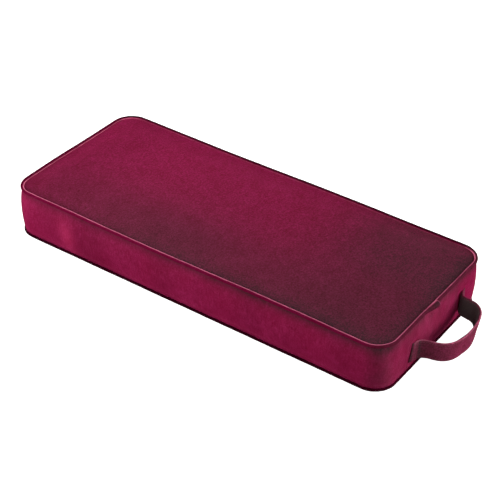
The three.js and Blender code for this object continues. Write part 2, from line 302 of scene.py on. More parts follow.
class Material:
    """A Principled material in the making. Its methods add nodes and give their output sockets."""

    def __init__(self, name, **constants):
        """Sets the shader's constant sockets, named with underscores for spaces."""
        self.made = bpy.data.materials.new(name)
        self.made.use_nodes = True
        self.tree = self.made.node_tree
        self.shader = self.tree.nodes["Principled BSDF"]
        for key, value in constants.items():
            self.shader.inputs[key.replace("_", " ")].default_value = value

    def node(self, kind, inputs, **settings):
        """A shader node's outputs. An input is a plain value, or another node's output to link."""
        made = self.tree.nodes.new("ShaderNode" + kind)
        for key, value in settings.items():
            setattr(made, key, value)
        for key, value in inputs.items():
            if isinstance(value, bpy.types.NodeSocket):
                self.tree.links.new(value, made.inputs[key])
            else:
                made.inputs[key].default_value = value
        return made.outputs

    def link(self, output, socket):
        self.tree.links.new(output, self.shader.inputs[socket])

    def place(self, scale=(1, 1, 1)):
        """Object coordinates, scaled."""
        source = self.node("TexCoord", {})["Object"]
        return self.node("Mapping", {"Vector": source, "Scale": scale})["Vector"]

    def stored(self, name):
        """The three values that store put on every point."""
        vector = self.node("Attribute", {}, attribute_name=name)["Vector"]
        return list(self.node("SeparateXYZ", {"Vector": vector}))

    def grain(self, vector, scale, detail=2.0, roughness=0.5):
        inputs = {"Vector": vector, "Scale": scale, "Detail": detail, "Roughness": roughness}
        return self.node("TexNoise", inputs)["Fac"]

    def math(self, operation, a, b=0.0, clamp=False):
        return self.node("Math", {0: a, 1: b}, operation=operation, use_clamp=clamp)[0]

    def total(self, *parts):
        """The sum of outputs times weights."""
        terms = [self.math("MULTIPLY", output, weight) for output, weight in parts]
        return functools.reduce(lambda a, b: self.math("ADD", a, b), terms)

    def mixed(self, factor, a, b):
        return self.node("Mix", {0: factor, 6: a, 7: b}, data_type="RGBA")[2]

    def ramp(self, value, *stops):
        """A colour ramp from (position, linear colour) stops."""
        colour = self.node("ValToRGB", {"Fac": value})["Color"]
        elements = colour.node.color_ramp.elements
        while len(elements) < len(stops):
            elements.new(0.5)
        for element, (position, shade) in zip(elements, stops):
            element.position = position
            element.color = (*shade, 1)
        return colour

    def rough(self, value, low, high, start=0.0, end=1.0):
        """Roughness from low to high as the value goes from start to end."""
        limits = {"Value": value, "From Min": start, "From Max": end, "To Min": low, "To Max": high}
        self.link(self.node("MapRange", limits)["Result"], "Roughness")

    def bumps(self, *layers):
        """Chains bump nodes, each from (height output, distance in metres)."""
        below = {}
        for height, distance in layers:
            inputs = {"Height": height, "Distance": distance, "Strength": 1.0, **below}
            below = {"Normal": self.node("Bump", inputs)["Normal"]}
        self.link(below["Normal"], "Normal")


def scaled(colour, factor):
    return tuple(min(channel * factor, 1.0) for channel in colour)


def pile_shade(colour, spread):
    """Pile seen more end-on is deeper and more saturated; pile laid flat is paler and greyer."""
    return tuple(channel * max(0.2, 1 + spread * k) for channel, k in zip(colour, (0.5, 1.8, 1.0)))


VELVET_COLOUR = (0.238, 0.0062, 0.049)
# A pale pink for painted highlights and sheen, and a near-neutral dark for painted shade.
PAINTED_HIGHLIGHT_COLOUR = (0.95, 0.22, 0.38, 1)
PAINTED_SHADE_COLOUR = (0.022, 0.015, 0.016, 1)
PILE_SHEEN = {"Sheen_Roughness": 0.38, "Sheen_Tint": (1.0, 0.05, 0.24, 1)}


def velvet(name, colour, sheen, fleck, contrast, pile=(1, 1, 1), gloss=0.12, reach=0.13, speckle=3.0):
    """Short cut pile: cloudy patches where the pile lies one way or another, streaks along the pile, and flecks
    of tufts.
    """
    made = Material(name, Sheen_Weight=sheen, Specular_IOR_Level=gloss, **PILE_SHEEN)
    plain = made.place()
    patches = made.grain(plain, 30, 3.0, 0.55)
    clouds = made.grain(plain, 130, 3.0, 0.6)
    streaks = made.grain(made.place(pile), 520, 3.0, 0.6)
    flecks = made.grain(plain, 560, 3.0, 0.7)
    rest = 1 - fleck
    shade = made.total((patches, 0.33 * rest), (clouds, 0.33 * rest), (streaks, 0.34 * rest), (flecks, fleck))
    deep, light = pile_shade(colour, -0.6 * contrast), pile_shade(colour, contrast)
    pile_colour = made.ramp(shade, (0.5 - reach, deep), (0.5, colour), (0.5 + reach, light))
    # The stored values paint light into the colour: painted highlights and sheen, painted shade, and painted
    # lightening or darkening of the pile.
    pale, dark, pile_and_painted_light = made.stored("nap_and_painted_light")
    value = made.math("ADD", pile_and_painted_light, 1.0)
    pile_colour = made.node("HueSaturation", {"Color": pile_colour, "Value": value})["Color"]
    broken = made.math("ADD", made.math("MULTIPLY", shade, speckle), 1 - speckle / 2)
    painted_shade_share = made.math("MULTIPLY", dark, made.math("SUBTRACT", 2.0, broken), clamp=True)
    painted_highlight_share = made.math("MULTIPLY", pale, broken, clamp=True)
    made.link(made.mixed(painted_highlight_share, made.mixed(painted_shade_share, pile_colour, PAINTED_SHADE_COLOUR), PAINTED_HIGHLIGHT_COLOUR), "Base Color")
    made.rough(shade, 0.55, 0.8)
    made.bumps((clouds, 0.5 * MM), (streaks, 0.35 * MM), (flecks, 0.3 * MM))
    return made.made


def foam(name, colour, pore):
    """Open-cell foam: pores of one size with paler walls."""
    made = Material(name, Specular_IOR_Level=0.2)
    plain = made.place()
    pores = made.node("TexVoronoi", {"Vector": plain, "Scale": pore})["Distance"]
    clouds = made.grain(plain, 25)
    shade = made.total((pores, 0.7), (clouds, 0.4))
    shades = made.ramp(shade, (0.2, scaled(colour, 0.62)), (0.6, colour), (0.9, scaled(colour, 1.08)))
    made.link(shades, "Base Color")
    made.rough(clouds, 0.85, 1.0)
    made.bumps((pores, 0.4 * MM))
    return made.made


def woven(name, colour, pitch_along, pitch_across, slant=0.0, height=0.15, contrast=0.45, rough=0.75):
    """Woven yarn in the piece's own weave coordinates: warp ribs along it, and weft across them. The
    pitches and height are in millimetres."""
    made = Material(name, Specular_IOR_Level=0.3, Sheen_Weight=0.15, Sheen_Roughness=0.5)
    along, across = made.stored("weave")[:2]
    slid = made.math("ADD", along, made.math("MULTIPLY", across, slant))
    warp, weft = (
        made.math("SINE", made.math("MULTIPLY", value, 2 * math.pi / (pitch * MM)))
        for value, pitch in ((across, pitch_across), (slid, pitch_along))
    )
    crossing = made.math("MULTIPLY", warp, weft)
    fibres = made.grain(made.place(), 1600, 2.0)
    yarn = made.math("ADD", made.total((crossing, 0.3), (warp, 0.12), (fibres, 0.6)), 0.2)
    low, high = scaled(colour, 1 - contrast), scaled(colour, 1 + contrast)
    made.link(made.ramp(yarn, (0.15, low), (0.5, colour), (0.85, high)), "Base Color")
    made.rough(fibres, rough - 0.1, rough + 0.12)
    made.bumps((crossing, height * MM), (fibres, 0.08 * MM))
    return made.made


def nylon(name, colour, rough=0.42):
    """Dyed nylon filament or thread with faint drawing marks."""
    made = Material(name, Specular_IOR_Level=0.45, Coat_Weight=0.06)
    marks = made.grain(made.place(), 900, 3.0)
    made.link(made.ramp(marks, (0.3, scaled(colour, 0.75)), (0.7, scaled(colour, 1.2))), "Base Color")
    made.rough(marks, rough - 0.08, rough + 0.12)
    made.bumps((marks, 0.03 * MM))
    return made.made


def plated(name, colour):
    """Nickel-plated zinc: tumbled, with fine scratches and dull handling marks."""
    made = Material(name, Metallic=1.0)
    smudges = made.grain(made.place(), 160, 4.0)
    scratches = made.grain(made.place((1, 12, 12)), 420, 3.0, 0.7)
    made.link(made.ramp(smudges, (0.3, scaled(colour, 0.82)), (0.7, colour)), "Base Color")
    made.rough(made.total((smudges, 0.45), (scratches, 0.35)), 0.2, 0.45, start=0.2, end=0.6)
    made.bumps((scratches, 0.02 * MM), (smudges, 0.04 * MM))
    return made.made


velvet_panel = velvet("velvet_panel", VELVET_COLOUR, 0.55, 0.65, 1.15, (1, 0.22, 1), reach=0.125, speckle=5.5)
velvet_boxing = velvet("velvet_boxing", VELVET_COLOUR, 0.55, 0.4, 0.7, (1, 1, 0.22), gloss=0.07)
velvet_piping = velvet("velvet_piping", scaled(VELVET_COLOUR, 0.8), 0.1, 0.3, 0.5, gloss=0.0)
# The strap's velvet is the cushion's cloth painted darker, as painted shade on the strap.
velvet_strap = velvet("velvet_strap", scaled(VELVET_COLOUR, 0.6), 0.35, 0.5, 1.3, speckle=5.0)
firm_foam = foam("firm_foam", (0.66, 0.60, 0.42), 900)
soft_foam = foam("soft_foam", (0.80, 0.75, 0.58), 700)
cotton = woven("cotton_cord", (0.62, 0.56, 0.44), 2.0, 1.0, rough=0.9)
grip_fabric = woven("grip_fabric", (0.016, 0.012, 0.013), 0.9, 0.9, contrast=0.6, rough=0.85)
grip_rubber = nylon("grip_rubber", (0.013, 0.011, 0.012), rough=0.6)
webbing = woven("webbing", (0.082, 0.054, 0.054), 1.6, 1.5, slant=0.5, height=0.25, contrast=0.6)
zip_tape_cloth = woven("zipper_tape", (0.085, 0.010, 0.024), 1.1, 1.0, slant=1.0, contrast=0.5)
coil_nylon = nylon("zipper_coil", (0.095, 0.012, 0.028))
thread = nylon("thread", (0.20, 0.035, 0.065), rough=0.6)
zip_metal = plated("zipper_metal", (0.55, 0.54, 0.52))


# Cover form ------------------------------------------------------------------------------------------

def rounded_grid(xs, ys, inset):
    """A rectangular grid drawn in at its corners to the shape of the seam line, inset all round."""
    half_x, half_y, radius = SEAM_X - inset, SEAM_Y - inset, CORNER_RADIUS - inset
    x, y = np.meshgrid(xs * half_x, ys * half_y, indexing="ij")
    dx = np.maximum(np.abs(x) - (half_x - radius), 0)
    dy = np.maximum(np.abs(y) - (half_y - radius), 0)
    new_dx = dx * np.sqrt(1 - dy**2 / (2 * radius**2))
    new_dy = dy * np.sqrt(1 - dx**2 / (2 * radius**2))
    return x - np.sign(x) * (dx - new_dx), y - np.sign(y) * (dy - new_dy)


def top_height(x, y):
    """Height of the top panel: a rounded shoulder beside the piping, then a slight crown."""
    depth = seam_depth(x, y)
    rise = np.clip((depth - PANEL_INSET) / SHOULDER_WIDTH, 0, 1)
    shoulder = SHOULDER_RISE * (1 - (1 - rise) ** 2.4) ** 0.62
    crown = CROWN_RISE * (1 - (x / SEAM_X) ** 4) * (1 - (y / SEAM_Y) ** 4)
    wave = seam_wave(seam_place(x, y)) * np.exp(-depth / (30 * MM))
    return SEAM_TOP + 0.1 * MM + shoulder + crown + wave


SIDE_BULGE = -BOXING[0].y - SEAM_Y - BOXING_SEAM_OFFSET
PLAIN_END_BULGE = -BOXING[0].x - SEAM_X - BOXING_SEAM_OFFSET
HANDLE_END_BULGE = BOXING[1].x - SEAM_X - BOXING_SEAM_OFFSET

# Where stitching pulls the handle end in, in millimetres: y from and to, height from and to, depth, softness
PULLS = (
    (-57.0, -41.0, 9.0, 37.0, 1.1, 4.0),
    (50.0, 65.0, 12.0, 40.0, 1.2, 4.0),
    (-21.0, 2.0, 51.0, 60.0, 2.0, 5.0),
)


def window(value, low, high, soft):
    """1 between low and high, falling smoothly to 0 within soft on both sides."""
    return smooth((value - low) / soft + 1) * smooth((high - value) / soft + 1)


def end_pull(s, t):
    """How deep the handle end is drawn in at the sewn tabs and below the piping's join."""
    x, y, nx, ny = seam_at(s)
    z = BOXING[0].z + BOXING_HEIGHT * t
    total = 0.0
    for y_low, y_high, z_low, z_high, depth, soft in np.array(PULLS) * MM:
        total = total + depth * window(y, y_low, y_high, soft) * window(z, z_low, z_high, soft)
    return total * (nx > 0.9)


def side_offset(s, t):
    """How far the boxing stands outside the seam line, at place s along it and height share t."""
    x, y, nx, ny = seam_at(s)
    end = np.where(nx > 0, HANDLE_END_BULGE, PLAIN_END_BULGE)
    bulge = SIDE_BULGE + (end - SIDE_BULGE) * nx**2
    corner = 4 * nx**2 * ny**2
    bulge = bulge + corner * np.where(nx < 0, -1.8 * MM * (ny < 0), 1.0 * MM * (ny > 0))
    swell = bulge * np.sin(np.pi * np.clip(t, 0, 1)) ** 0.75
    return BOXING_SEAM_OFFSET + swell - end_pull(s, t)


def side_points(s, t, field=None, proud=0.0):
    """Points of the boxing's outer face at places s and height shares t, which broadcast together."""
    s, t = np.broadcast_arrays(s, t)
    x, y, nx, ny = seam_at(s)
    offset = side_offset(s, t) + proud
    if field is not None:
        offset = offset + field(s, t)
    z = BOXING[0].z + BOXING_HEIGHT * t + seam_wave(s) * t
    return stacked(x + nx * offset, y + ny * offset, z)


SIM_STEP = 5 * MM
SIM_ROWS = 12
SIM_FRAMES = 20
TOP_LIMIT = 2.3 * MM
SIDE_LIMIT = 0.8 * MM
CLOTH = {
    "quality": 5,
    "mass": 0.2,
    "vertex_group_mass": "seams",
    "pin_stiffness": 5,
    "shrink_min": -0.0025,
    "bending_stiffness": 3,
    "use_pressure": True,
    "uniform_pressure_force": 2,
}


def relaxed_fields():
    """Simulates the closed cover as cloth held at its seams and pressed out from inside. Returns how far
    the top panel rises and the boxing swells beyond the plain form, and the places s of its columns."""
    nx, ny = round(2 * SEAM_X / SIM_STEP), round(2 * SEAM_Y / SIM_STEP)
    x, y = rounded_grid(np.linspace(-1, 1, nx + 1), np.linspace(-1, 1, ny + 1), PANEL_INSET)
    top = stacked(x, y, top_height(x, y))
    floor = stacked(x, y, SEAM_BOTTOM)
    rim = grid_rim(*x.shape)
    s = seam_place(x, y).ravel()[rim]
    t = np.linspace(0, 1, SIM_ROWS + 1)[1:-1]
    points = np.vstack([part.reshape(-1, 3) for part in (top, floor, side_points(s[None, :], t[:, None]))])
    faces = grid_faces(*x.shape) + grid_faces(*x.shape, start=x.size, flip=True)
    loops = [[x.size + k for k in rim]]
    loops += np.arange(2 * x.size, len(points)).reshape(len(t), -1).tolist() + [rim]
    for low, high in zip(loops, loops[1:]):
        faces += wall_faces(low, high)

    cloth = mesh_object("cover_form", points, faces, velvet_panel, body=None)
    cloth.vertex_groups.new(name="seams").add(rim + list(range(x.size, 2 * x.size)), 1.0, "REPLACE")
    modifier = cloth.modifiers.new("cloth", "CLOTH")
    for key, value in CLOTH.items():
        setattr(modifier.settings, key, value)
    modifier.settings.effector_weights.gravity = 0
    modifier.point_cache.frame_start = 1
    modifier.point_cache.frame_end = SIM_FRAMES
    for number in range(1, SIM_FRAMES + 1):
        bpy.context.scene.frame_set(number)
    shaped = cloth.evaluated_get(bpy.context.evaluated_depsgraph_get()).to_mesh()
    moved = np.array([v.co for v in shaped.vertices]) - points
    bpy.context.scene.frame_set(1)
    bpy.data.objects.remove(cloth)

    outwards = stacked(*seam_at(s)[2:])
    swell = (moved[2 * x.size :, :2].reshape(len(t), len(rim), 2) * outwards).sum(2)
    return held_in(moved[: x.size, 2].reshape(x.shape), TOP_LIMIT), held_in(swell, SIDE_LIMIT), s


def held_in(moved, limit):
    """Movement capped smoothly, as foam that fills the cover holds it."""
    return limit * np.tanh(moved / limit)


def spline_matrix(places, count, closed=False):
    """Weights of cubic B-splines with evenly spaced knots 0 to count - 1, at the given places."""
    first = np.floor(places).astype(int)
    f = places - first
    weights = [(1 - f) ** 3, 3 * f**3 - 6 * f**2 + 4, -3 * f**3 + 3 * f**2 + 3 * f + 1, f**3]
    matrix = np.zeros((len(places), count))
    for shift, weight in enumerate(weights):
        index = first - 1 + shift
        index = np.mod(index, count) if closed else np.clip(index, 0, count - 1)
        np.add.at(matrix, (np.arange(len(places)), index), weight / 6)
    return matrix


def side_field(swell, places):
    """The simulated swelling as a function of place along the seam and height share."""
    columns = round(SEAM_LENGTH / SIM_STEP)
    even = np.arange(columns) * SEAM_LENGTH / columns
    order = np.argsort(places)
    full = np.pad(swell, ((1, 1), (0, 0)))
    table = np.array([np.interp(even, places[order], row[order], period=SEAM_LENGTH) for row in full])

    def field(s, t):
        flat_s, flat_t = np.mod(s, SEAM_LENGTH).ravel(), np.clip(t, 0, 1).ravel()
        by_s = spline_matrix(flat_s / SEAM_LENGTH * columns, columns, closed=True)
        by_t = spline_matrix(flat_t * (len(table) - 1), len(table))
        return (by_t @ table * by_s).sum(1).reshape(s.shape)

    return field


# Cover pieces ----------------------------------------------------------------------------------------

EDGE_STEPS = (0.0, 0.25, 0.6, 1.1, 1.8, 2.7, 3.8, 5.2, 6.9, 9.0, 11.5, 14.5)  # millimetres in from an edge
EVEN_STEP = 3.4 * MM


def edge_spaced(half):
    """Places from -1 to 1 across a panel, close together beside both edges."""
    near = np.array(EDGE_STEPS) * MM
    count = round(2 * (half - near[-1]) / EVEN_STEP)
    middle = np.linspace(-(half - near[-1]), half - near[-1], count + 1)[1:-1]
    return np.r_[near - half, middle, (half - near)[::-1]] / half


def panel_grid(inset):
    """A panel's places from -1 to 1 both ways, and the x and y of its points there."""
    xs, ys = edge_spaced(SEAM_X - inset), edge_spaced(SEAM_Y - inset)
    return xs, ys, *rounded_grid(xs, ys, inset)


def resampled(values, across_rows, across_columns):
    """A field of evenly spaced values at places from -1 to 1 both ways, by B-splines."""
    left, right = (
        spline_matrix((places + 1) / 2 * (count - 1), count)
        for places, count in zip((across_rows, across_columns), values.shape)
    )
    return left @ values @ right.T


def seam_facing(x, y):
    """The unit direction from a place towards the seam near it, turning smoothly round the corners."""
    reach = 12 * MM
    along_x = np.sign(x) * np.exp((np.abs(x) - SEAM_X) / reach)
    along_y = np.sign(y) * np.exp((np.abs(y) - SEAM_Y) / reach)
    length = np.hypot(along_x, along_y) + 1e-9
    return along_x / length, along_y / length


def panel_painted_light(piece, x, y):
    """Painted light on the top: painted shade along the front and handle-end seams and towards the handle end,
    a painted grey sheen in front and towards the handle end, and painted light that leaves the back left paler
    and the front and both ends darker.
    """
    toward_x, toward_y = seam_facing(x, y)
    turned = np.clip(0.65 * toward_x - 0.76 * toward_y, 0, 1)
    depth = np.clip(seam_depth(x, y), 0, None)
    band = turned * hill(depth, 0, 15 * MM, 1.5)
    dark = 0.95 * band * (0.3 + 0.7 * smooth((x + 0.22) / 0.25)) + 0.2 * smooth((x - 0.02) / 0.2)
    dark = dark + 0.36 * smooth((x - 0.08) / 0.1) * smooth((y + 0.03) / 0.06)
    front = hill(y, -0.075, 0.055) * hill(x, -0.04, 0.18)
    pale = 0.046 * front + 0.05 * smooth((x - 0.02) / 0.2)
    pile_and_painted_light = 0.05 * smooth((y - 0.02) / 0.06) - 0.54 * smooth((x - 0.04) / 0.18)
    pile_and_painted_light = pile_and_painted_light - 0.64 * front - 0.12 * smooth((-0.12 - x) / 0.1)
    store(piece, "nap_and_painted_light", pale, dark, pile_and_painted_light)


def top_cover(lift):
    xs, ys, x, y = panel_grid(PANEL_INSET)
    z = top_height(x, y)
    if lift is not None:
        z = z + resampled(lift, xs, ys)
    points, faces = sheet_mesh(stacked(x, y, z), PANEL_THICKNESS)
    panel = mesh_object("top_cover", points, faces, velvet_panel)
    panel_painted_light(panel, points[:, 0], points[:, 1])
    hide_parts("top_panel")


BACK_MIDDLE = float(seam_place(0.0, SEAM_Y)[0])
ZIP_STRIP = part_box("zipper_strip_upper")
ROLL = 1.1 * MM  # radius of the rolled edge where velvet is folded under


def back_place(x):
    """The place along the seam of a point on the zipped side."""
    return BACK_MIDDLE - np.asarray(x)


def boxing_pile_and_painted_light(piece, s, t):
    """Painted light on the sides: painted shadow under the top piping, painted shade on the near corner, beside
    the strap's roots and along both seams, a painted highlight streak with a painted dim band beside it,
    painted light on the handle end's corners, a painted grey sheen on its near part, and random pile waves and
    crushing.
    """
    x, y, nx, ny = seam_at(s)
    from_top, from_bottom = (1 - t) * BOXING_HEIGHT, t * BOXING_HEIGHT
    front, handle_end = np.clip(-ny, 0, 1), np.clip(nx, 0, 1)
    # painted shadow cast by the top piping, strongest on the handle end
    under = 0.15 + 0.4 * handle_end + 0.35 * front * smooth((x + 0.15) / 0.3)
    # painted shade on the near corner, beside the strap's roots and where the handle end turns
    painted_corner_shade = hill(x, 0.243, 0.011) * hill(y, -0.095, 0.012)
    painted_corner_shade = painted_corner_shade * (0.42 * hill(t, 0.88, 0.25) + 0.3 * hill(t, 0.3, 0.25))
    roots = handle_end * (hill(y, 0.042, 0.005) + 0.5 * hill(y, -0.058, 0.006))
    turning = hill(ny, 0.6, 0.14) * handle_end
    dark = hill(from_top, 0, 6 * MM, 1.6) * under + painted_corner_shade
    dark = dark + 0.45 * roots * hill(t, 0.5, 0.35) + 0.4 * turning
    # a painted highlight streak on the front, and a painted dim band beside it
    painted_streak = front * hill(x + 0.006 * (t - 0.5), -0.172, 0.01) * hill(t, 0.42, 0.33)
    dull = front * hill(x, -0.125, 0.028)
    waves = 0.05 * np.sin(s / (21 * MM) + 1.2 * t) + 0.04 * np.sin(s / (9.3 * MM) + 2)
    # painted light on the handle end's corners
    lit_corner = handle_end * (0.25 * hill(y, -0.085, 0.012) + 0.3 * hill(y, 0.09, 0.02))
    crushed = np.sin(y / (4.3 * MM) + 9 * t) * np.sin(y / (7.9 * MM) - 5 * t + 1.1)
    crushed = crushed + 0.6 * np.sin(y / (2.9 * MM) - 14 * t)
    pile_and_painted_light = 0.55 * painted_streak - 0.22 * dull + waves + lit_corner * hill(t, 0.45, 0.4)
    # painted shade beside the top and bottom seams
    pile_and_painted_light = pile_and_painted_light - 0.3 * hill(from_top, 0, 4 * MM, 1.5) - 0.2 * hill(from_bottom, 0, 2 * MM, 1.5)
    pile_and_painted_light = pile_and_painted_light + 0.1 * handle_end * crushed
    # a painted grey sheen over the near part of the handle end, and a faint painted highlight line above the
    # bottom seam
    uneven = 1 + 0.5 * np.sin(y / (5.1 * MM) + 2.6 * t) * np.sin(y / (8.3 * MM))
    painted_haze = handle_end * smooth((0.05 - y) / 0.03) * uneven
    pale = 0.05 * painted_streak + 0.03 * hill(from_bottom, 4.5 * MM, 1.3 * MM) + 0.05 * painted_haze
    store(piece, "nap_and_painted_light", pale, dark, pile_and_painted_light)


BOXING_STEP = 2.6 * MM
BOXING_SHARES = np.r_[0, 0.012, 0.03, 0.055, 0.085, np.linspace(0.12, 0.88, 17), 0.915, 0.945, 0.97, 0.988, 1]


def boxing_cover(field):
    """The velvet band round three sides and the ends of the fourth, tucked under both pipings."""
    x_end = ZIP_STRIP[1].x + 0.4 * MM
    first, last = back_place(-x_end), back_place(x_end) + SEAM_LENGTH
    s = np.linspace(first, last, round((last - first) / BOXING_STEP) + 1)
    along, share = np.broadcast_arrays(s[:, None], BOXING_SHARES[None, :])
    sheet = sheet_mesh(side_points(along, share, field), BOXING_THICKNESS)
    band = mesh_object("boxing_cover", *sheet, velvet_boxing)
    boxing_pile_and_painted_light(band, sheet_values(along), sheet_values(share))
    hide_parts("boxing_strip")


PIPING_SIDES = 22
PIPING_BORE = 1.35 * MM
FLANGE_REACH = 8 * MM
# The two lips of the folded strip and the slit between them, measured up from the cord's centre
LIP_LOW, SLIT_LOW, SLIT_HIGH, LIP_HIGH = -0.95 * MM, -0.5 * MM, -0.3 * MM, 0.05 * MM


def piping_section(up):
    """Outline of the folded piping strip: a round roll whose two lips lie inwards. Rows are (out, up)."""

    def arc(radius, low, high, sides):
        """The long way round from one height to another."""
        start, end = -math.pi - math.asin(low / radius), math.pi - math.asin(high / radius)
        angles = np.linspace(start, end, sides)
        return list(zip(radius * np.cos(angles), radius * np.sin(angles)))

    outline = [(-FLANGE_REACH, LIP_LOW)]
    outline += arc(PIPING_RADIUS, LIP_LOW, LIP_HIGH, PIPING_SIDES)
    outline += [(-FLANGE_REACH, LIP_HIGH), (-FLANGE_REACH, SLIT_HIGH)]
    outline += arc(PIPING_BORE, SLIT_LOW, SLIT_HIGH, 12)[::-1]
    outline += [(-FLANGE_REACH, SLIT_LOW)]
    return np.array(outline) * (1, up)


def seam_sections(s, height, outline, size, shift):
    """Sections along the seam line, from outlines of (out, up) that are scaled and then shifted."""
    x, y, nx, ny = seam_at(s)
    local = outline * size[:, None, None] + shift[:, None, :]
    px = x[:, None] + nx[:, None] * local[..., 0]
    py = y[:, None] + ny[:, None] * local[..., 0]
    return stacked(px, py, height[:, None] + local[..., 1])


RIPPLES = ((17, 1.0), (41, 0.7), (67, 0.6), (113, 0.5), (151, 0.35))  # waves round the seam, and weight


def ripple(s, seed, size):
    """A small seeded unevenness along the seam, the same each run and with no jump where it closes."""
    turn = 2 * np.pi * np.mod(s, SEAM_LENGTH) / SEAM_LENGTH
    waves = [weight * np.sin(count * turn + seed * (k + 1.7)) for k, (count, weight) in enumerate(RIPPLES)]
    return size * sum(waves) / 2


def piping_height(s, top):
    return SEAM_TOP + seam_wave(s) if top else np.full_like(s, SEAM_BOTTOM)


# Where the piping's ends meet, and how far they overlap: on the handle end above, on the plain end below
TOP_JOIN = (SEAM_LENGTH - 2 * MM, 5 * MM)
BOTTOM_JOIN = (SEAM_LENGTH / 2, 2 * MM)
PIPING_STEP = 1.7 * MM


def piping_line(top):
    """The piping roll along the seam: its places, size, and shift outwards and up.

    The top one's last stretch passes over its start, turned out and down into the boxing."""
    start, overlap = TOP_JOIN if top else BOTTOM_JOIN
    length = SEAM_LENGTH + overlap
    s = start - overlap / 2 + np.linspace(0, length, round(length / PIPING_STEP) + 1)
    nx, ny = seam_at(s)[2:]
    # on a corner the strip, cut on the bias, is gathered on its inner side
    gathers = 4 * nx**2 * ny**2 * 0.035 * np.sin(s / (1.15 * MM))
    size = 1 + ripple(s, 1.3 if top else 2.9, 0.022) + gathers
    shift = np.column_stack([ripple(s, 4.1, 0.10 * MM), ripple(s, 5.3, 0.08 * MM)])
    to_start, to_end = s - s[0], s[-1] - s
    if top:
        # the seam allowance is bulkier at the plain end and along the zipped side
        left, back, right = (np.clip(v, 0, 1) ** 2 for v in (-nx, ny, nx))
        size = size + 0.36 * left + 0.3 * back + 0.1 * right
        turned_down = smooth(1 - to_end / (30 * MM))
        tucked = smooth(1 - to_start / (12 * MM))
        size = size * (1 + 0.8 * turned_down)
        shift = shift + np.outer(turned_down, (1.5 * MM, -1.6 * MM))
        shift = shift + np.outer(tucked, (0.2 * MM, -0.3 * MM))
    closing = np.minimum(to_start / (1.4 * MM), to_end / (2.4 * MM))
    return s, size * np.sqrt(np.clip(0.12 + closing, 0, 1)), shift


def piping_painted_light(piece, s, outline, top):
    """Painted light on the piping: a painted highlight along its crest beside the top panel and on the
    turned-down end, and painted shade on its flanks.
    """
    turn = np.degrees(np.arctan2(outline[:, 1], outline[:, 0]))[None, :]
    turn = np.where(turn < -90, turn + 360, turn)
    nx, ny = seam_at(s)[2:]
    front, back, left, right = (np.clip(v, 0, 1)[:, None] for v in (-ny, ny, -nx, nx))
    if not top:
        # the bottom piping is painted near black, as painted shade along the bottom edge
        store(piece, "nap_and_painted_light", 0.0, 0.0, 0.1 * right - 0.86 + 0 * turn)
        return
    lie = 102 * front**2 + 114 * right**2 + 166 * left**2 + 170 * back**2
    crest = hill(turn, lie, 16) * (1 + ripple(s, 7.7, 0.25)[:, None])
    flank = smooth((lie - 12 - turn) / 30)
    to_end = (s[-1] - s)[:, None]
    tip = hill(to_end, 0, 1.6 * MM) * (turn > -20)
    joining = hill(to_end, 0, 22 * MM)
    pale = crest * (1.7 * front + 0.8 * left + 0.25 * back + 1.0 * right) + 0.03 * right * flank + 0.7 * tip
    dark = (0.5 + 0.3 * joining) * flank * right * (1 - tip)
    store(piece, "nap_and_painted_light", pale, dark, -flank * (0.2 * front + 0.75 * back + 0.45 * left + 0.15 * right))


def piping_cover(name, node_name, top):
    s, size, shift = piping_line(top)
    outline = piping_section(1)[::-1] if top else piping_section(-1)
    sections = seam_sections(s, piping_height(s, top), outline, size, shift)
    tube = mesh_object(name, *sweep_mesh(sections), velvet_piping, sharp=60)
    piping_painted_light(tube, s, outline, top)
    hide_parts(node_name)


CORD_LAY = 9 * MM
CORD_SIDES = 12


def piping_filler(name, node_name, top):
    """Three-ply cotton cord inside the piping."""
    s, size, shift = piping_line(top)
    angles = circle(CORD_SIDES)
    turned = angles[None, :] + 2 * np.pi * s[:, None] / CORD_LAY
    ply = 1.0 * MM * (0.9 + 0.14 * np.cos(3 * angles))[None, :]
    local = stacked(ply * np.cos(turned), ply * np.sin(turned))
    sections = seam_sections(s, piping_height(s, top), local, size, shift)
    cord = mesh_object(name, *sweep_mesh(sections[:, ::-1]), cotton)
    store(cord, "weave", s[:, None], (angles * MM)[None, :], 0.0)
    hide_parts(node_name)


# Underside -------------------------------------------------------------------------------------------

GRIP_DOT_RADIUS = 1.25 * MM
GRIP_DOT_HEIGHT = 0.8 * MM
GRIP_DOT_PITCH = 7.5 * MM
GRIP_DOT_EDGE = 9 * MM  # no dot stands nearer to the seam
GRIP_RINGS = ((1.0, 1.0), (0.93, 0.55), (0.68, 0.15), (0.3, 0.0))  # share of the radius, and of the height
GRIP_FACE = 0.6 * MM  # the fabric's face above the floor, so that the dots stand on it
GRIP_THICKNESS = 1.1 * MM


def bottom_cover():
    """Closely woven underside, drawn up beside the bottom piping."""
    x, y = panel_grid(PANEL_INSET)[2:]
    depth = seam_depth(x, y) - PANEL_INSET
    drawn = 1.35 * MM * np.exp(-depth / (2.4 * MM))
    z = GRIP_FACE + drawn + 0.12 * MM * np.sin(x * 90) * np.cos(y * 130) * smooth(depth / (20 * MM))
    outer = stacked(x, y, z)[::-1]
    panel = mesh_object("bottom_cover", *sheet_mesh(outer, GRIP_THICKNESS), grip_fabric)
    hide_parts("bottom_panel")


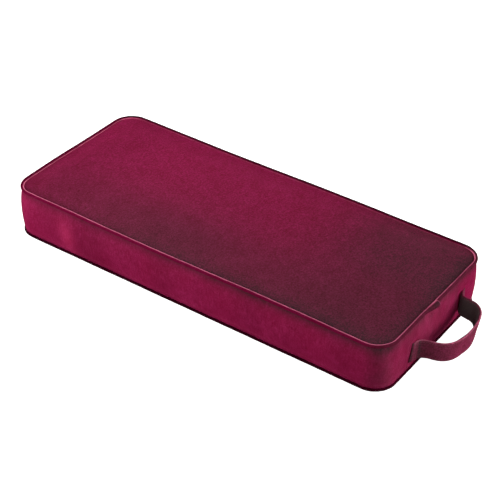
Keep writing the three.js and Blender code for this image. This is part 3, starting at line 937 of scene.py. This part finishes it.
def grip_dots():
    """Rubbery dots in staggered rows all over the underside, each a flattened dome."""
    row_step = GRIP_DOT_PITCH * math.sqrt(3) / 2
    rows = int(SEAM_Y / row_step)
    columns = int(SEAM_X / GRIP_DOT_PITCH)
    share, height = (np.array(values)[:, None] for values in zip(*GRIP_RINGS))
    angles = circle(10)[None, :]
    x, y = GRIP_DOT_RADIUS * share * np.cos(angles), -GRIP_DOT_RADIUS * share * np.sin(angles)
    dome = stacked(x, y, GRIP_DOT_HEIGHT * height)
    dots = []
    for row in range(-rows, rows + 1):
        for column in range(-columns, columns + 1):
            centre = np.array([(column + (row % 2) / 2) * GRIP_DOT_PITCH, row * row_step, 0])
            if seam_depth(*centre[:2]) >= GRIP_DOT_EDGE:
                dots.append(sweep_mesh(dome + centre))
    piece = mesh_object("bottom_grip_dots", *joined(dots), grip_rubber, sharp=50)


# Filling ---------------------------------------------------------------------------------------------

def foam_block(name, node_name, material, rounding, crown):
    """A cut foam slab: softened edges, faces that are slightly uneven from the saw."""
    low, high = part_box(node_name)
    inset = SEAM_X - high.x
    x, y = panel_grid(inset)[2:]
    depth = seam_depth(x, y) - inset
    soft = rounding * (1 - np.sqrt(1 - (1 - np.clip(depth / rounding, 0, 1)) ** 2))
    uneven = 0.25 * MM * np.sin(x * 160 + 1.3) * np.cos(y * 210)
    top = stacked(x, y, high.z - soft + crown * smooth(depth / (40 * MM)) + uneven)
    base = stacked(x, y, low.z)
    rim = grid_rim(*x.shape)
    points = np.vstack([top.reshape(-1, 3), base.reshape(-1, 3)])
    faces = grid_faces(*x.shape) + grid_faces(*x.shape, start=x.size, flip=True)
    faces += wall_faces([x.size + k for k in rim], rim)
    slab = mesh_object(name, points, faces, material, sharp=50)
    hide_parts(node_name)


# Handle ----------------------------------------------------------------------------------------------

STRAP_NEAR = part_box("handle_front_end")
STRAP_WIDTH = STRAP_NEAR[1].z - STRAP_NEAR[0].z
FACE_X = BOXING[1].x  # the boxing's face on the handle end
SKEW = 0.13  # the near tab is sewn a little askew: how far its end leans along the strap for each length up
SKEW_LENGTH = 16 * MM

# Plan of the strap's lower edge, in millimetres: x from the face, y, height of the lower edge, and lean of
# the strap outwards in degrees. It runs from the near tab, round the loop, to the far tab.
STRAP_ROUTE = (
    (-1.8, -53.0, 11.6, 0), (0.0, -48.0, 11.2, 0), (1.2, -41.0, 10.6, 0), (4.0, -36.6, 10.2, 0),
    (9.5, -32.6, 9.6, 1), (17.0, -29.6, 8.6, 1), (24.0, -26.0, 8.2, 1), (29.4, -20.2, 7.8, 1),
    (32.6, -12.4, 7.2, 1), (34.5, -2.0, 6.8, 2), (35.3, 9.0, 6.7, 3), (34.3, 21.0, 7.2, 5),
    (31.0, 33.0, 8.6, 8), (26.8, 41.4, 10.6, 11), (20.8, 45.6, 12.6, 12), (13.0, 46.4, 13.8, 11),
    (6.6, 47.2, 14.4, 9), (2.9, 49.8, 14.6, 5), (1.2, 54.2, 14.6, 2), (-0.2, 60.0, 14.6, 0),
    (-1.8, 65.0, 14.6, 0),
)


CURVE_SAMPLES = 1500


def spline_through(points, step):
    """Evenly spaced places on a smooth curve through the points, with every column interpolated alike."""
    points = np.asarray(points, float)
    chord = np.linalg.norm(np.diff(points[:, :2], axis=0), axis=1) ** 0.5
    knots = np.r_[0, np.cumsum(chord)]
    slopes = np.gradient(points, knots, axis=0)
    fine = np.linspace(0, knots[-1], CURVE_SAMPLES)
    k = np.clip(np.searchsorted(knots, fine, side="right") - 1, 0, len(knots) - 2)
    width = (knots[k + 1] - knots[k])[:, None]
    u = (fine - knots[k])[:, None] / width
    curve = (2 * u**3 - 3 * u**2 + 1) * points[k] + (u**3 - 2 * u**2 + u) * width * slopes[k]
    curve = curve + (3 * u**2 - 2 * u**3) * points[k + 1] + (u**3 - u**2) * width * slopes[k + 1]
    run = run_along(curve[:, :2])
    even = np.linspace(0, run[-1], round(run[-1] / step) + 1)
    return even, sampled(even, run, curve)


class Strap:
    """The strap's lower edge, with its outward and upward directions, at even steps along it."""

    def __init__(self, step):
        along, rows = spline_through(STRAP_ROUTE, step / MM)
        self.along = along * MM
        self.edge = rows[:, :3] * MM + (FACE_X, 0, 0)
        tangent = unit(np.gradient(self.edge, axis=0))
        flat = unit(np.cross(tangent, (0, 0, 1)))
        lean = np.radians(rows[:, 3])[:, None]
        up = np.cos(lean) * np.array([[0, 0, 1.0]]) + np.sin(lean) * flat
        self.out = unit(np.cross(tangent, up))
        self.up = up + SKEW * np.clip(1 - self.along / SKEW_LENGTH, 0, 1)[:, None] * tangent

    def points(self, out, up, rows=slice(None)):
        """Points at offsets out and up, which have one row for each step or one for them all."""
        out, up = np.broadcast_arrays(out, up)
        sideways = self.out[rows][:, None] * out[..., None]
        return self.edge[rows][:, None] + sideways + self.up[rows][:, None] * up[..., None]


STRAP_STEP = 1.2 * MM
STITCH_MARGIN = 2.6 * MM
STRAP_OUTER = 1.4 * MM
STRAP_INNER = 1.0 * MM
STRAP_CORNER = 1.25 * MM
LINING_WIDTH = STRAP_WIDTH - 3.0 * MM
LINING_THICKNESS = 0.7 * MM
FACE_POINTS = 9


def rounded_outline(low, high, bottom, top, corner, steps=5, bow=0.0):
    """An anticlockwise rounded rectangle as rows of (out, up). The outer face bows out by bow."""
    x, y = (low + corner, high - corner), (bottom + corner, top - corner)
    share = np.linspace(0, 1, FACE_POINTS)[1:-1]
    rise = (top - bottom - 2 * corner) * share
    faces = {-90: stacked(high + bow * np.sin(np.pi * share), y[0] + rise), 90: stacked(low, y[1] - rise)}
    rows = []
    for start, cx, cy in ((-90, x[1], y[0]), (0, x[1], y[1]), (90, x[0], y[1]), (180, x[0], y[0])):
        angles = np.radians(np.linspace(start, start + 90, steps))
        rows.append(stacked(cx + corner * np.cos(angles), cy + corner * np.sin(angles)))
        if start in faces:
            rows.append(faces[start])
    return np.vstack(rows)


def strap_painted_light(strap, outline):
    """Painted light on the strap: painted highlights along its edges and on its tabs, a faint painted sheen all
    over, painted shade beside the near tab, in its folds, along its stitching and on the far half, and painted
    light brighter at the nose of the loop.
    """
    along = strap.along[:, None]
    from_end = np.minimum(along, strap.along[-1] - along)
    up = outline[None, :, 1]
    from_edge = np.minimum(up, STRAP_WIDTH - up)
    row = hill(from_edge, STITCH_MARGIN, 0.8 * MM)
    tab_highlights = hill(from_end, 4.2 * MM, 1.2 * MM) + 0.6 * hill(from_end, 9 * MM, 1.1 * MM)
    folds = hill(from_end, 14 * MM, 2.0 * MM) + hill(from_end, 0, 1.9 * MM)
    near = smooth((0.8 - along / strap.along[-1]) / 0.1)
    dark = 0.42 * hill(along, 0, 42 * MM) + 0.6 * folds - 0.3 * tab_highlights + 0.1 * row + 0.4 * (1 - near)
    pile_and_painted_light = -0.12 + 0.3 * hill(along, 66 * MM, 18 * MM) - 0.25 * row
    pale = 0.3 * hill(from_edge, 0, 0.7 * MM) * smooth(from_end / (12 * MM)) * near
    return pale + 0.08 + 0.1 * tab_highlights * near, np.clip(dark, 0, 0.9), pile_and_painted_light


def strap_pieces(strap):
    """Velvet folded round a black webbing lining, from one sewn tab to the other."""
    outline = rounded_outline(-STRAP_INNER, STRAP_OUTER, 0.0, STRAP_WIDTH, STRAP_CORNER, bow=0.25 * MM)[::-1]
    along = strap.along[:, None]
    out, up = outline[None, :, 0], outline[None, :, 1]
    loose = np.sin(np.pi * np.linspace(0, 1, len(along))[:, None]) ** 2
    wavy = 0.22 * MM * loose * np.sin(along / (6.1 * MM) + up / (7 * MM))
    pinch = 0.25 * MM * loose * np.sin(along / (11.3 * MM)) * np.sign(up - STRAP_WIDTH / 2)
    tube = sweep_mesh(strap.points(out + wavy, up + pinch))
    cover = mesh_object("handle_strap", *tube, velvet_strap, body=None, sharp=60)
    store(cover, "nap_and_painted_light", *strap_painted_light(strap, outline))
    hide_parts("handle_loop", "handle_front_end", "handle_rear_end")

    low = (STRAP_WIDTH - LINING_WIDTH) / 2
    inner, outer = -STRAP_INNER - LINING_THICKNESS, -STRAP_INNER + 0.1 * MM
    ribbon = rounded_outline(inner, outer, low, low + LINING_WIDTH, 0.3 * MM, steps=3)[::-1]
    tube = sweep_mesh(strap.points(ribbon[None, :, 0] + wavy[:, -1:], ribbon[None, :, 1]))
    lining = mesh_object("handle_lining_webbing", *tube, webbing, body=None, sharp=60)
    store(lining, "weave", along, ribbon[None, :, 1], 0.0)
    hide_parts("handle_lining")
    return [cover, lining]


STITCH_LENGTH = 2.6 * MM
STITCH_GAP = 0.7 * MM
STITCH_SINK = 0.22 * MM
THREAD_RADIUS = 0.28 * MM


def stitch_row(points, normals):
    """The stitches along a line on a surface: short threads that rise from the cloth and go back into it."""
    run = run_along(points)
    share = np.linspace(0, 1, 7)
    arch = np.sin(np.pi * share)
    rise = THREAD_RADIUS * 2.2 * arch**0.6 - THREAD_RADIUS - STITCH_SINK
    radii = THREAD_RADIUS * (0.45 + 0.55 * arch**0.5)
    parts = []
    for k in range(int(run[-1] / (STITCH_LENGTH + STITCH_GAP))):
        places = k * (STITCH_LENGTH + STITCH_GAP) + STITCH_GAP / 2 + share * STITCH_LENGTH
        centre = sampled(places, run, points)
        normal = unit(sampled(places, run, normals))
        side = np.cross(unit(np.gradient(centre, axis=0)), normal)
        parts.append(sweep_mesh(rings(centre + normal * rise[:, None], side, normal, radii, 6)))
    return parts


def stitches(name, rows, body=BODY):
    """One piece from several rows of stitches, each (points, normals)."""
    parts = [part for points, normals in rows for part in stitch_row(points, normals)]
    piece = mesh_object(name, *joined(parts), thread, body=body)
    return piece


def strap_stitching(strap):
    """Edge stitching the length of the strap on both faces."""
    made = []
    ends = (strap.along > 4 * MM) & (strap.along < strap.along[-1] - 4 * MM)
    offsets = {"outer": STRAP_OUTER + 0.1 * MM, "inner": -STRAP_INNER - LINING_THICKNESS}
    for name, offset in offsets.items():
        rows = []
        for height in (STITCH_MARGIN, STRAP_WIDTH - STITCH_MARGIN):
            line = strap.points(np.array([offset]), height)[:, 0]
            rows.append((line[ends], strap.out[ends] * math.copysign(1, offset)))
        made.append(stitches(f"handle_edge_stitching_{name}", rows, body=None))
    return made


TAB_ROWS = (2.5 * MM, 12.5 * MM)  # from each end of the strap
TAB_ROW_MARGIN = 2.2 * MM


def tab_stitching(strap):
    """Two rows across each tab where it is sewn down."""
    rows = []
    heights = np.linspace(TAB_ROW_MARGIN, STRAP_WIDTH - TAB_ROW_MARGIN, 30)[None, :]
    for distance in (*TAB_ROWS, *(strap.along[-1] - row for row in reversed(TAB_ROWS))):
        k = int(np.argmin(np.abs(strap.along - distance)))
        line = strap.points(STRAP_OUTER + 0.3 * MM, heights, slice(k, k + 1))[0]
        rows.append((line, np.tile(strap.out[k], (30, 1))))
    stitches("handle_tab_stitching", rows)


def handle():
    strap = Strap(STRAP_STEP)
    pieces = strap_pieces(strap) + strap_stitching(strap)
    tab_stitching(strap)
    for piece in pieces:
        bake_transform(piece)


# Zip -------------------------------------------------------------------------------------------------

STRIP_OPENING = ZIP_STRIP[0].z - ZIP_Z
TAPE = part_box("zipper_tape_upper")
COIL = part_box("zipper_coil_upper")
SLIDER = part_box("zipper_slider")
SLIDER_X = (SLIDER[0].x + SLIDER[1].x) / 2
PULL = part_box("zipper_pull")


def zip_strip(name, node_name, side, field):
    """Velvet beside the zip, folded under along the opening. side is +1 above the zip and -1 below it."""
    low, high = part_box(node_name)
    x = np.linspace(high.x, low.x, round((high.x - low.x) / BOXING_STEP) + 1)
    height = abs((high.z if side > 0 else low.z) - ZIP_Z) - STRIP_OPENING
    away = np.r_[np.array([0.0, 0.15, 0.4, 0.75, 1.1, 2.0]) * MM, np.linspace(3.2 * MM, height, 10)]
    fold = 1 - np.clip(away / ROLL, 0, 1)
    tucked = ROLL * (1 - np.sqrt(1 - fold**2))
    slack = 0.1 * MM * (1 + 1.4 * np.sin(x / (23 * MM)) + 0.8 * np.sin(x / (9 * MM) + 1))
    near_zip = np.exp(-away / (8 * MM))
    opening = STRIP_OPENING + slack[:, None] * near_zip
    # the slider's path stays level where the seam above it rises and falls
    height_here = BOXING_HEIGHT + seam_wave(back_place(x))[:, None] * near_zip
    t = (ZIP_Z + side * (opening + away) - BOXING[0].z) / height_here
    outer = side_points(back_place(x)[:, None], t, field, proud=-tucked)[:, ::side]
    strip = mesh_object(name, *sheet_mesh(outer, BOXING_THICKNESS), velvet_boxing)
    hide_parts(node_name)


def zip_stitching(field):
    """Topstitching that holds each folded edge to the tape, and the ends of the opening."""
    lines = []
    x = np.linspace(ZIP_STRIP[1].x - 1.5 * MM, ZIP_STRIP[0].x + 1.5 * MM, 500)
    across = np.linspace(ZIP_Z - 11 * MM, ZIP_Z + 11 * MM, 40)
    for side in (-1, 1):
        lines.append((back_place(x), np.full_like(x, ZIP_Z + side * (STRIP_OPENING + 2.6 * MM))))
    for side in (-1, 1):
        lines.append((np.full_like(across, back_place(side * (ZIP_STRIP[1].x + 3.4 * MM))), across))
    rows = []
    for s, z in lines:
        line = side_points(s, (z - BOXING[0].z) / BOXING_HEIGHT, field)
        rows.append((line, np.tile((0.0, 1.0, 0.0), (len(line), 1))))
    stitches("zipper_topstitching", rows)


TAPE_ROWS, TAPE_COLUMNS = 160, 14
TAPE_CLOTH = 0.45 * MM


def zip_tape(name, node_name):
    """Woven tape, a little thicker along the edge that carries the coil."""
    low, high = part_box(node_name)
    x = np.linspace(high.x, low.x, TAPE_ROWS)[:, None]
    share = np.linspace(0, 1, TAPE_COLUMNS)[None, :]
    from_coil = share if low.z > ZIP_Z else 1 - share
    bead = 0.22 * MM * hill(from_coil, 0.22, 0.035)
    edge = 0.18 * MM * smooth(1 - from_coil / 0.12)
    y = high.y - 0.2 * MM + bead + edge + 0.08 * MM * np.sin(x / (17 * MM))
    points, faces = sheet_mesh(stacked(x, y, low.z + (high.z - low.z) * share), TAPE_CLOTH)
    tape = mesh_object(name, points, faces, zip_tape_cloth)
    store(tape, "weave", points[:, 0], points[:, 2], 0.0)
    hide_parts(node_name)


COIL_PITCH = 1.5 * MM
COIL_WIRE = 0.30 * MM
COIL_INNER = 0.28 * MM
COIL_STEPS = 14


def zip_coil(name, node_name, side):
    """One row of the coil: a flattened helix of nylon wire, its loops meeting those of the other row."""
    low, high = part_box(node_name)
    turns = int((high.x - low.x) / COIL_PITCH)
    angle = 2 * np.pi * np.arange(turns * COIL_STEPS + 1) / COIL_STEPS
    outer = high.z - ZIP_Z if side > 0 else ZIP_Z - low.z
    middle_y, middle_z = (low.y + high.y) / 2, ZIP_Z + side * (COIL_INNER + outer) / 2
    reach_y, reach_z = (high.y - low.y) / 2 - COIL_WIRE, (outer - COIL_INNER) / 2 - COIL_WIRE

    def squared(value):
        return np.sign(value) * np.abs(value) ** 0.7

    x = low.x + COIL_WIRE + COIL_PITCH * (angle / (2 * np.pi) + (side > 0) / 2 - 0.18 * np.sin(angle))
    y = middle_y + reach_y * squared(np.sin(angle))
    path = stacked(x, y, middle_z - side * reach_z * squared(np.cos(angle)))
    tangent = unit(np.gradient(path, axis=0))
    first = unit(np.cross(tangent, (1.0, 0, 0)))
    radii = COIL_WIRE * (1 + 0.28 * np.maximum(0, np.cos(angle)) ** 4)
    sections = rings(path, first, np.cross(tangent, first), radii, 7)
    coil = mesh_object(name, *sweep_mesh(sections[:, ::-1]), coil_nylon)
    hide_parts(node_name)


def rounded_polygon(corners, radius, steps=5):
    """A polygon in millimetres, with its corners rounded off, as rows in metres."""
    corners = np.asarray(corners, float) * MM
    outline = []
    for before, corner, after in zip(np.roll(corners, 1, axis=0), corners, np.roll(corners, -1, axis=0)):
        ways = [before - corner, after - corner]
        ends = [corner + way * min(0.49, radius * MM / np.linalg.norm(way)) for way in ways]
        for u in np.linspace(0, 1, steps):
            outline.append((1 - u) ** 2 * ends[0] + 2 * u * (1 - u) * corner + u**2 * ends[1])
    return np.array(outline)


def box_outline(x_low, x_high, y_low, y_high, radius):
    """A rounded rectangle in millimetres, as rows in metres."""
    return rounded_polygon([(x_low, y_low), (x_high, y_low), (x_high, y_high), (x_low, y_high)], radius)


UPRIGHT = Matrix(((1, 0, 0, 0), (0, 0, -1, 0), (0, 1, 0, 0), (0, 0, 0, 1)))  # turns a plate's own Y up to Z


def plate(outlines, thickness, bevel, place, turned=UPRIGHT):
    """Points and faces of a flat plate with holes and rounded edges, cut from outlines in its own plane. The
    bevel is in millimetres."""
    curve = bpy.data.curves.new("plate", "CURVE")
    curve.dimensions = "2D"
    curve.fill_mode = "BOTH"
    curve.extrude = thickness / 2 - bevel * MM
    curve.bevel_depth = bevel * MM
    curve.bevel_resolution = 2
    for outline in outlines:
        spline = curve.splines.new("POLY")
        spline.points.add(len(outline) - 1)
        spline.points.foreach_set("co", stacked(*outline.T, 0, 0).ravel())
        spline.use_cyclic_u = True
    holder = bpy.data.objects.new("plate", curve)
    cut = bpy.data.meshes.new_from_object(holder)
    tidy = bmesh.new()
    tidy.from_mesh(cut)
    bmesh.ops.remove_doubles(tidy, verts=tidy.verts, dist=0.001 * MM)
    bmesh.ops.recalc_face_normals(tidy, faces=tidy.faces)
    points = [Vector(place) + turned @ v.co for v in tidy.verts]
    faces = [[v.index for v in face.verts] for face in tidy.faces]
    tidy.free()
    bpy.data.objects.remove(holder)
    bpy.data.curves.remove(curve)
    bpy.data.meshes.remove(cut)
    return points, faces


def metal_piece(name, parts, body=BODY):
    piece = mesh_object(name, *joined(parts), zip_metal, body=body, sharp=40)
    return piece


SLIDER_WING = 1.2 * MM
SLIDER_WALL = 3.9  # half the slider's width, in millimetres
CROWN_WIDTH = 1.8 * MM
WING_GAP = 0.3 * MM
CHEEK_LAP = 0.4 * MM  # how far the side walls run into the front wing


def zip_slider():
    """Die-cast slider: two wings joined by a post, side walls that guide the coils, a crown for the pull."""
    half = (SLIDER[1].x - SLIDER[0].x) / 2 / MM
    wall = SLIDER_WALL
    wing_y = COIL[1].y + WING_GAP
    back_y = TAPE[0].y - WING_GAP
    edge = [(-half, -2.9), (-half + 2.6, -3.3), (0.5, -wall), (half - 0.6, -wall), (half, -2.6)]
    shield = edge + [(half - 1.1, 0)] + [(x, -y) for x, y in reversed(edge)]
    outline = rounded_polygon(shield, 0.9)
    base, top = (wing_y + SLIDER_WING) / MM - 0.3, SLIDER[1].y / MM
    arch = [(-3.6, base), (3.6, base), (3.1, top - 0.9), (2.2, top), (-2.2, top), (-3.1, top - 0.9)]
    hole = [(-2.3, base + 0.5), (2.3, base + 0.5), (2.0, top - 1.5), (1.4, top - 1.15)]
    hole += [(-1.4, top - 1.15), (-2.0, top - 1.5)]
    depth = wing_y + CHEEK_LAP - COIL[0].y
    cheek = box_outline(-half + 2.6, half - 0.7, -0.5, 0.5, 0.4)
    post = box_outline(1.6, half - 1.2, -0.22, 0.22, 0.2)
    parts = [
        plate([outline], SLIDER_WING, 0.35, (SLIDER_X, wing_y + SLIDER_WING / 2, ZIP_Z)),
        plate([outline * (1, 0.92)], SLIDER_WING, 0.35, (SLIDER_X, back_y - SLIDER_WING / 2, ZIP_Z)),
    ]
    for side in (-1, 1):
        z = ZIP_Z + side * (wall - 0.5) * MM
        parts.append(plate([cheek], depth, 0.25, (SLIDER_X, wing_y + CHEEK_LAP - depth / 2, z)))
    span = wing_y - back_y + 0.6 * MM
    parts.append(plate([post], span, 0.05, (SLIDER_X, (wing_y + back_y) / 2, ZIP_Z)))
    crown = [rounded_polygon(arch, 0.8), rounded_polygon(hole, 0.5)]
    parts.append(plate(crown, CROWN_WIDTH, 0.3, (SLIDER_X, 0, ZIP_Z), turned=Matrix()))
    body = metal_piece("zipper_slider_body", parts, body="slider")
    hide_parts("zipper_slider")


def zip_pull():
    """Pull tab whose eye turns in the slider's crown, with a slot for a cord."""
    end, near = ((corner.x - SLIDER_X) / MM for corner in PULL)
    half = (PULL[1].z - PULL[0].z) / 2 / MM
    y = (PULL[0].y + PULL[1].y) / 2
    thickness = (PULL[1].y - PULL[0].y) * 0.92
    side = [(near, half - 0.3), (-1.2, half), (-5.2, half), (-8.5, 1.9), (-16, 1.9)]
    side += [(-19.5, half), (end + 1.0, half), (end, 1.3)]
    outlines = [
        rounded_polygon(side + [(x, -y) for x, y in reversed(side)], 0.9),
        box_outline(-4.6, -0.65, -1.6, 1.6, 0.8),
        box_outline(end + 2, end + 5, -0.75, 0.75, 0.7),
    ]
    rib = box_outline(-15.5, -8.0, -0.9, 0.9, 0.8)
    tab = plate(outlines, thickness, 0.28, (SLIDER_X, y, ZIP_Z))
    raised = plate([rib], 0.5 * MM, 0.2, (SLIDER_X, y + thickness / 2, ZIP_Z))
    piece = metal_piece("zipper_pull_tab", [tab, raised], body="pull")
    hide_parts("zipper_pull")


# Shares of the stop's width and height, corner radius, share of its depth, bevel, and shift outwards
STOP_PARTS = ((1, 1, 0.7, 0.8, 0.4, -0.1), (0.45, 0.86, 0.5, 0.45, 0.3, 0.25))


def zip_stop(name, node_name):
    """A metal stop clenched over the coil: a rounded block with a pressed groove each side of its ridge."""
    low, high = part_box(node_name)
    x, y, z = (low + high) / 2
    depth = high.y - low.y
    parts = []
    for wide, tall, radius, thick, bevel, out in STOP_PARTS:
        half_x, half_z = (high.x - low.x) / 2 / MM * wide, (high.z - low.z) / 2 / MM * tall
        outline = box_outline(-half_x, half_x, -half_z, half_z, radius)
        parts.append(plate([outline], depth * thick, bevel, (x, y + depth * out, z)))
    piece = metal_piece(name, parts)
    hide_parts(node_name)


def zip_fastener(field):
    for name, side in (("upper", 1), ("lower", -1)):
        zip_strip(f"zipper_strip_{name}_velvet", f"zipper_strip_{name}", side, field)
        zip_tape(f"zipper_tape_{name}_woven", f"zipper_tape_{name}")
        zip_coil(f"zipper_coil_{name}_helix", f"zipper_coil_{name}", side)
        zip_stop(f"zipper_top_stop_{name}_clip", f"zipper_top_stop_{name}")
    zip_stop("zipper_bottom_stop_clip", "zipper_bottom_stop")
    zip_stitching(field)
    zip_slider()
    zip_pull()


# Stage, lights and camera ----------------------------------------------------------------------------

VIEW_AZIMUTH = math.radians(34.67)
VIEW_ELEVATION = math.radians(35.82)
VIEW_ROLL = math.radians(1.08)
VIEW_DISTANCE = 1.690
VIEW_TARGET = Vector((-0.0065, 0.0266, 0.0))
SENSOR = 36  # millimetres
LENS = 103.05


def camera():
    """A long lens from above the near corner of the handle end."""
    turned = Matrix.Rotation(VIEW_AZIMUTH, 4, "Z") @ Matrix.Rotation(math.pi / 2 - VIEW_ELEVATION, 4, "X")
    turned = turned @ Matrix.Rotation(VIEW_ROLL, 4, "Z")
    data = bpy.data.cameras.new("camera")
    data.sensor_width = SENSOR
    data.lens = LENS
    data.clip_end = 60
    made = added("camera", data)
    made.matrix_world = Matrix.Translation(VIEW_TARGET) @ turned @ Matrix.Translation((0, 0, VIEW_DISTANCE))
    bpy.context.scene.camera = made


# Area lights: place, aim, watts, and size
LIGHTS = {
    "front": ((0.0, -1.3, 0.25), (0.0, -0.1, 0.03), 5.6, (0.6, 0.4)),
    "left": ((-0.9, -0.7, 0.25), (-0.2, -0.05, 0.03), 9.1, (0.5, 0.4)),
    "above_left": ((-0.2, 0.05, 0.45), (-0.15, 0.05, 0.06), 0.93, (0.3, 0.3)),
    "behind": ((-0.25, 0.6, 0.7), (0.1, -0.05, 0.05), 0.28, (0.25, 0.25)),
    "end_far": ((0.7, 0.35, 0.15), (0.25, 0.08, 0.03), 2.3, (0.4, 0.3)),
    "end": ((1.2, 0.0, 0.24), (0.25, 0.0, 0.03), 3.0, (1.3, 0.5)),
    "end_high": ((0.75, -0.3, 0.75), (0.25, 0.0, 0.03), 1.9, (0.4, 0.4)),
    "back": ((0.0, 1.4, 0.06), (0.0, 0.1, 0.03), 2.2, (1.2, 0.1)),
    "plain_end": ((-1.4, 0.2, 0.06), (-0.26, 0.0, 0.03), 0.8, (0.6, 0.1)),
}
SURROUNDING_LIGHT = 0.02
STUDIO_HALF, STUDIO_HEIGHT = 9.0, 12.0


def soft_light(name, place, aim, power, size):
    data = bpy.data.lights.new(name, "AREA")
    data.shape = "RECTANGLE"
    data.size, data.size_y = size
    data.energy = power
    lamp = added(name, data)
    lamp.location = place
    lamp.rotation_euler = (Vector(place) - Vector(aim)).to_track_quat("Z", "Y").to_euler()


def studio():
    """A white floor with far white walls, all lit to clean white, that casts nothing back on the cushion."""
    white = Material(
        "studio_white",
        Roughness=1.0,
        Specular_IOR_Level=0.0,
        Base_Color=(0.9, 0.9, 0.9, 1),
        Emission_Color=(1, 1, 1, 1),
        Emission_Strength=1.0,
    )
    corners = [(x * STUDIO_HALF, y * STUDIO_HALF) for x, y in ((-1, -1), (1, -1), (1, 1), (-1, 1))]
    points = [(x, y, z) for z in (0, STUDIO_HEIGHT) for x, y in corners]
    faces = [[0, 1, 2, 3], [4, 7, 6, 5], [0, 4, 5, 1], [1, 5, 6, 2], [2, 6, 7, 3], [3, 7, 4, 0]]
    made = mesh_object("studio", points, faces, white.made, body=None)
    made.location.z = min(0, cad_box[0].z) - 0.2 * MM
    made.visible_diffuse = False
    made.visible_glossy = False
    made.visible_shadow = False


def surroundings():
    world = bpy.data.worlds.new("surroundings")
    world.use_nodes = True
    background = world.node_tree.nodes["Background"]
    background.inputs["Color"].default_value = (1, 1, 1, 1)
    background.inputs["Strength"].default_value = SURROUNDING_LIGHT
    bpy.context.scene.world = world


camera()
studio()
surroundings()
for light, settings in LIGHTS.items():
    soft_light(light, *settings)
bpy.context.scene.view_settings.view_transform = "Standard"


# Assembly --------------------------------------------------------------------------------------------

lift, swell, places = relaxed_fields()
boxing_field = None if swell is None else side_field(swell, places)

top_cover(lift)
boxing_cover(boxing_field)
piping_cover("top_piping_cover", "top_piping", top=True)
piping_filler("top_piping_filler", "top_piping_cord", top=True)
piping_cover("bottom_piping_cover", "bottom_piping", top=False)
piping_filler("bottom_piping_filler", "bottom_piping_cord", top=False)
handle()
zip_fastener(boxing_field)
bottom_cover()
grip_dots()
foam_block("base_foam_slab", "base_foam", firm_foam, 3 * MM, 0.0)
foam_block("comfort_foam_slab", "comfort_foam", soft_foam, 5 * MM, 1.0 * MM)
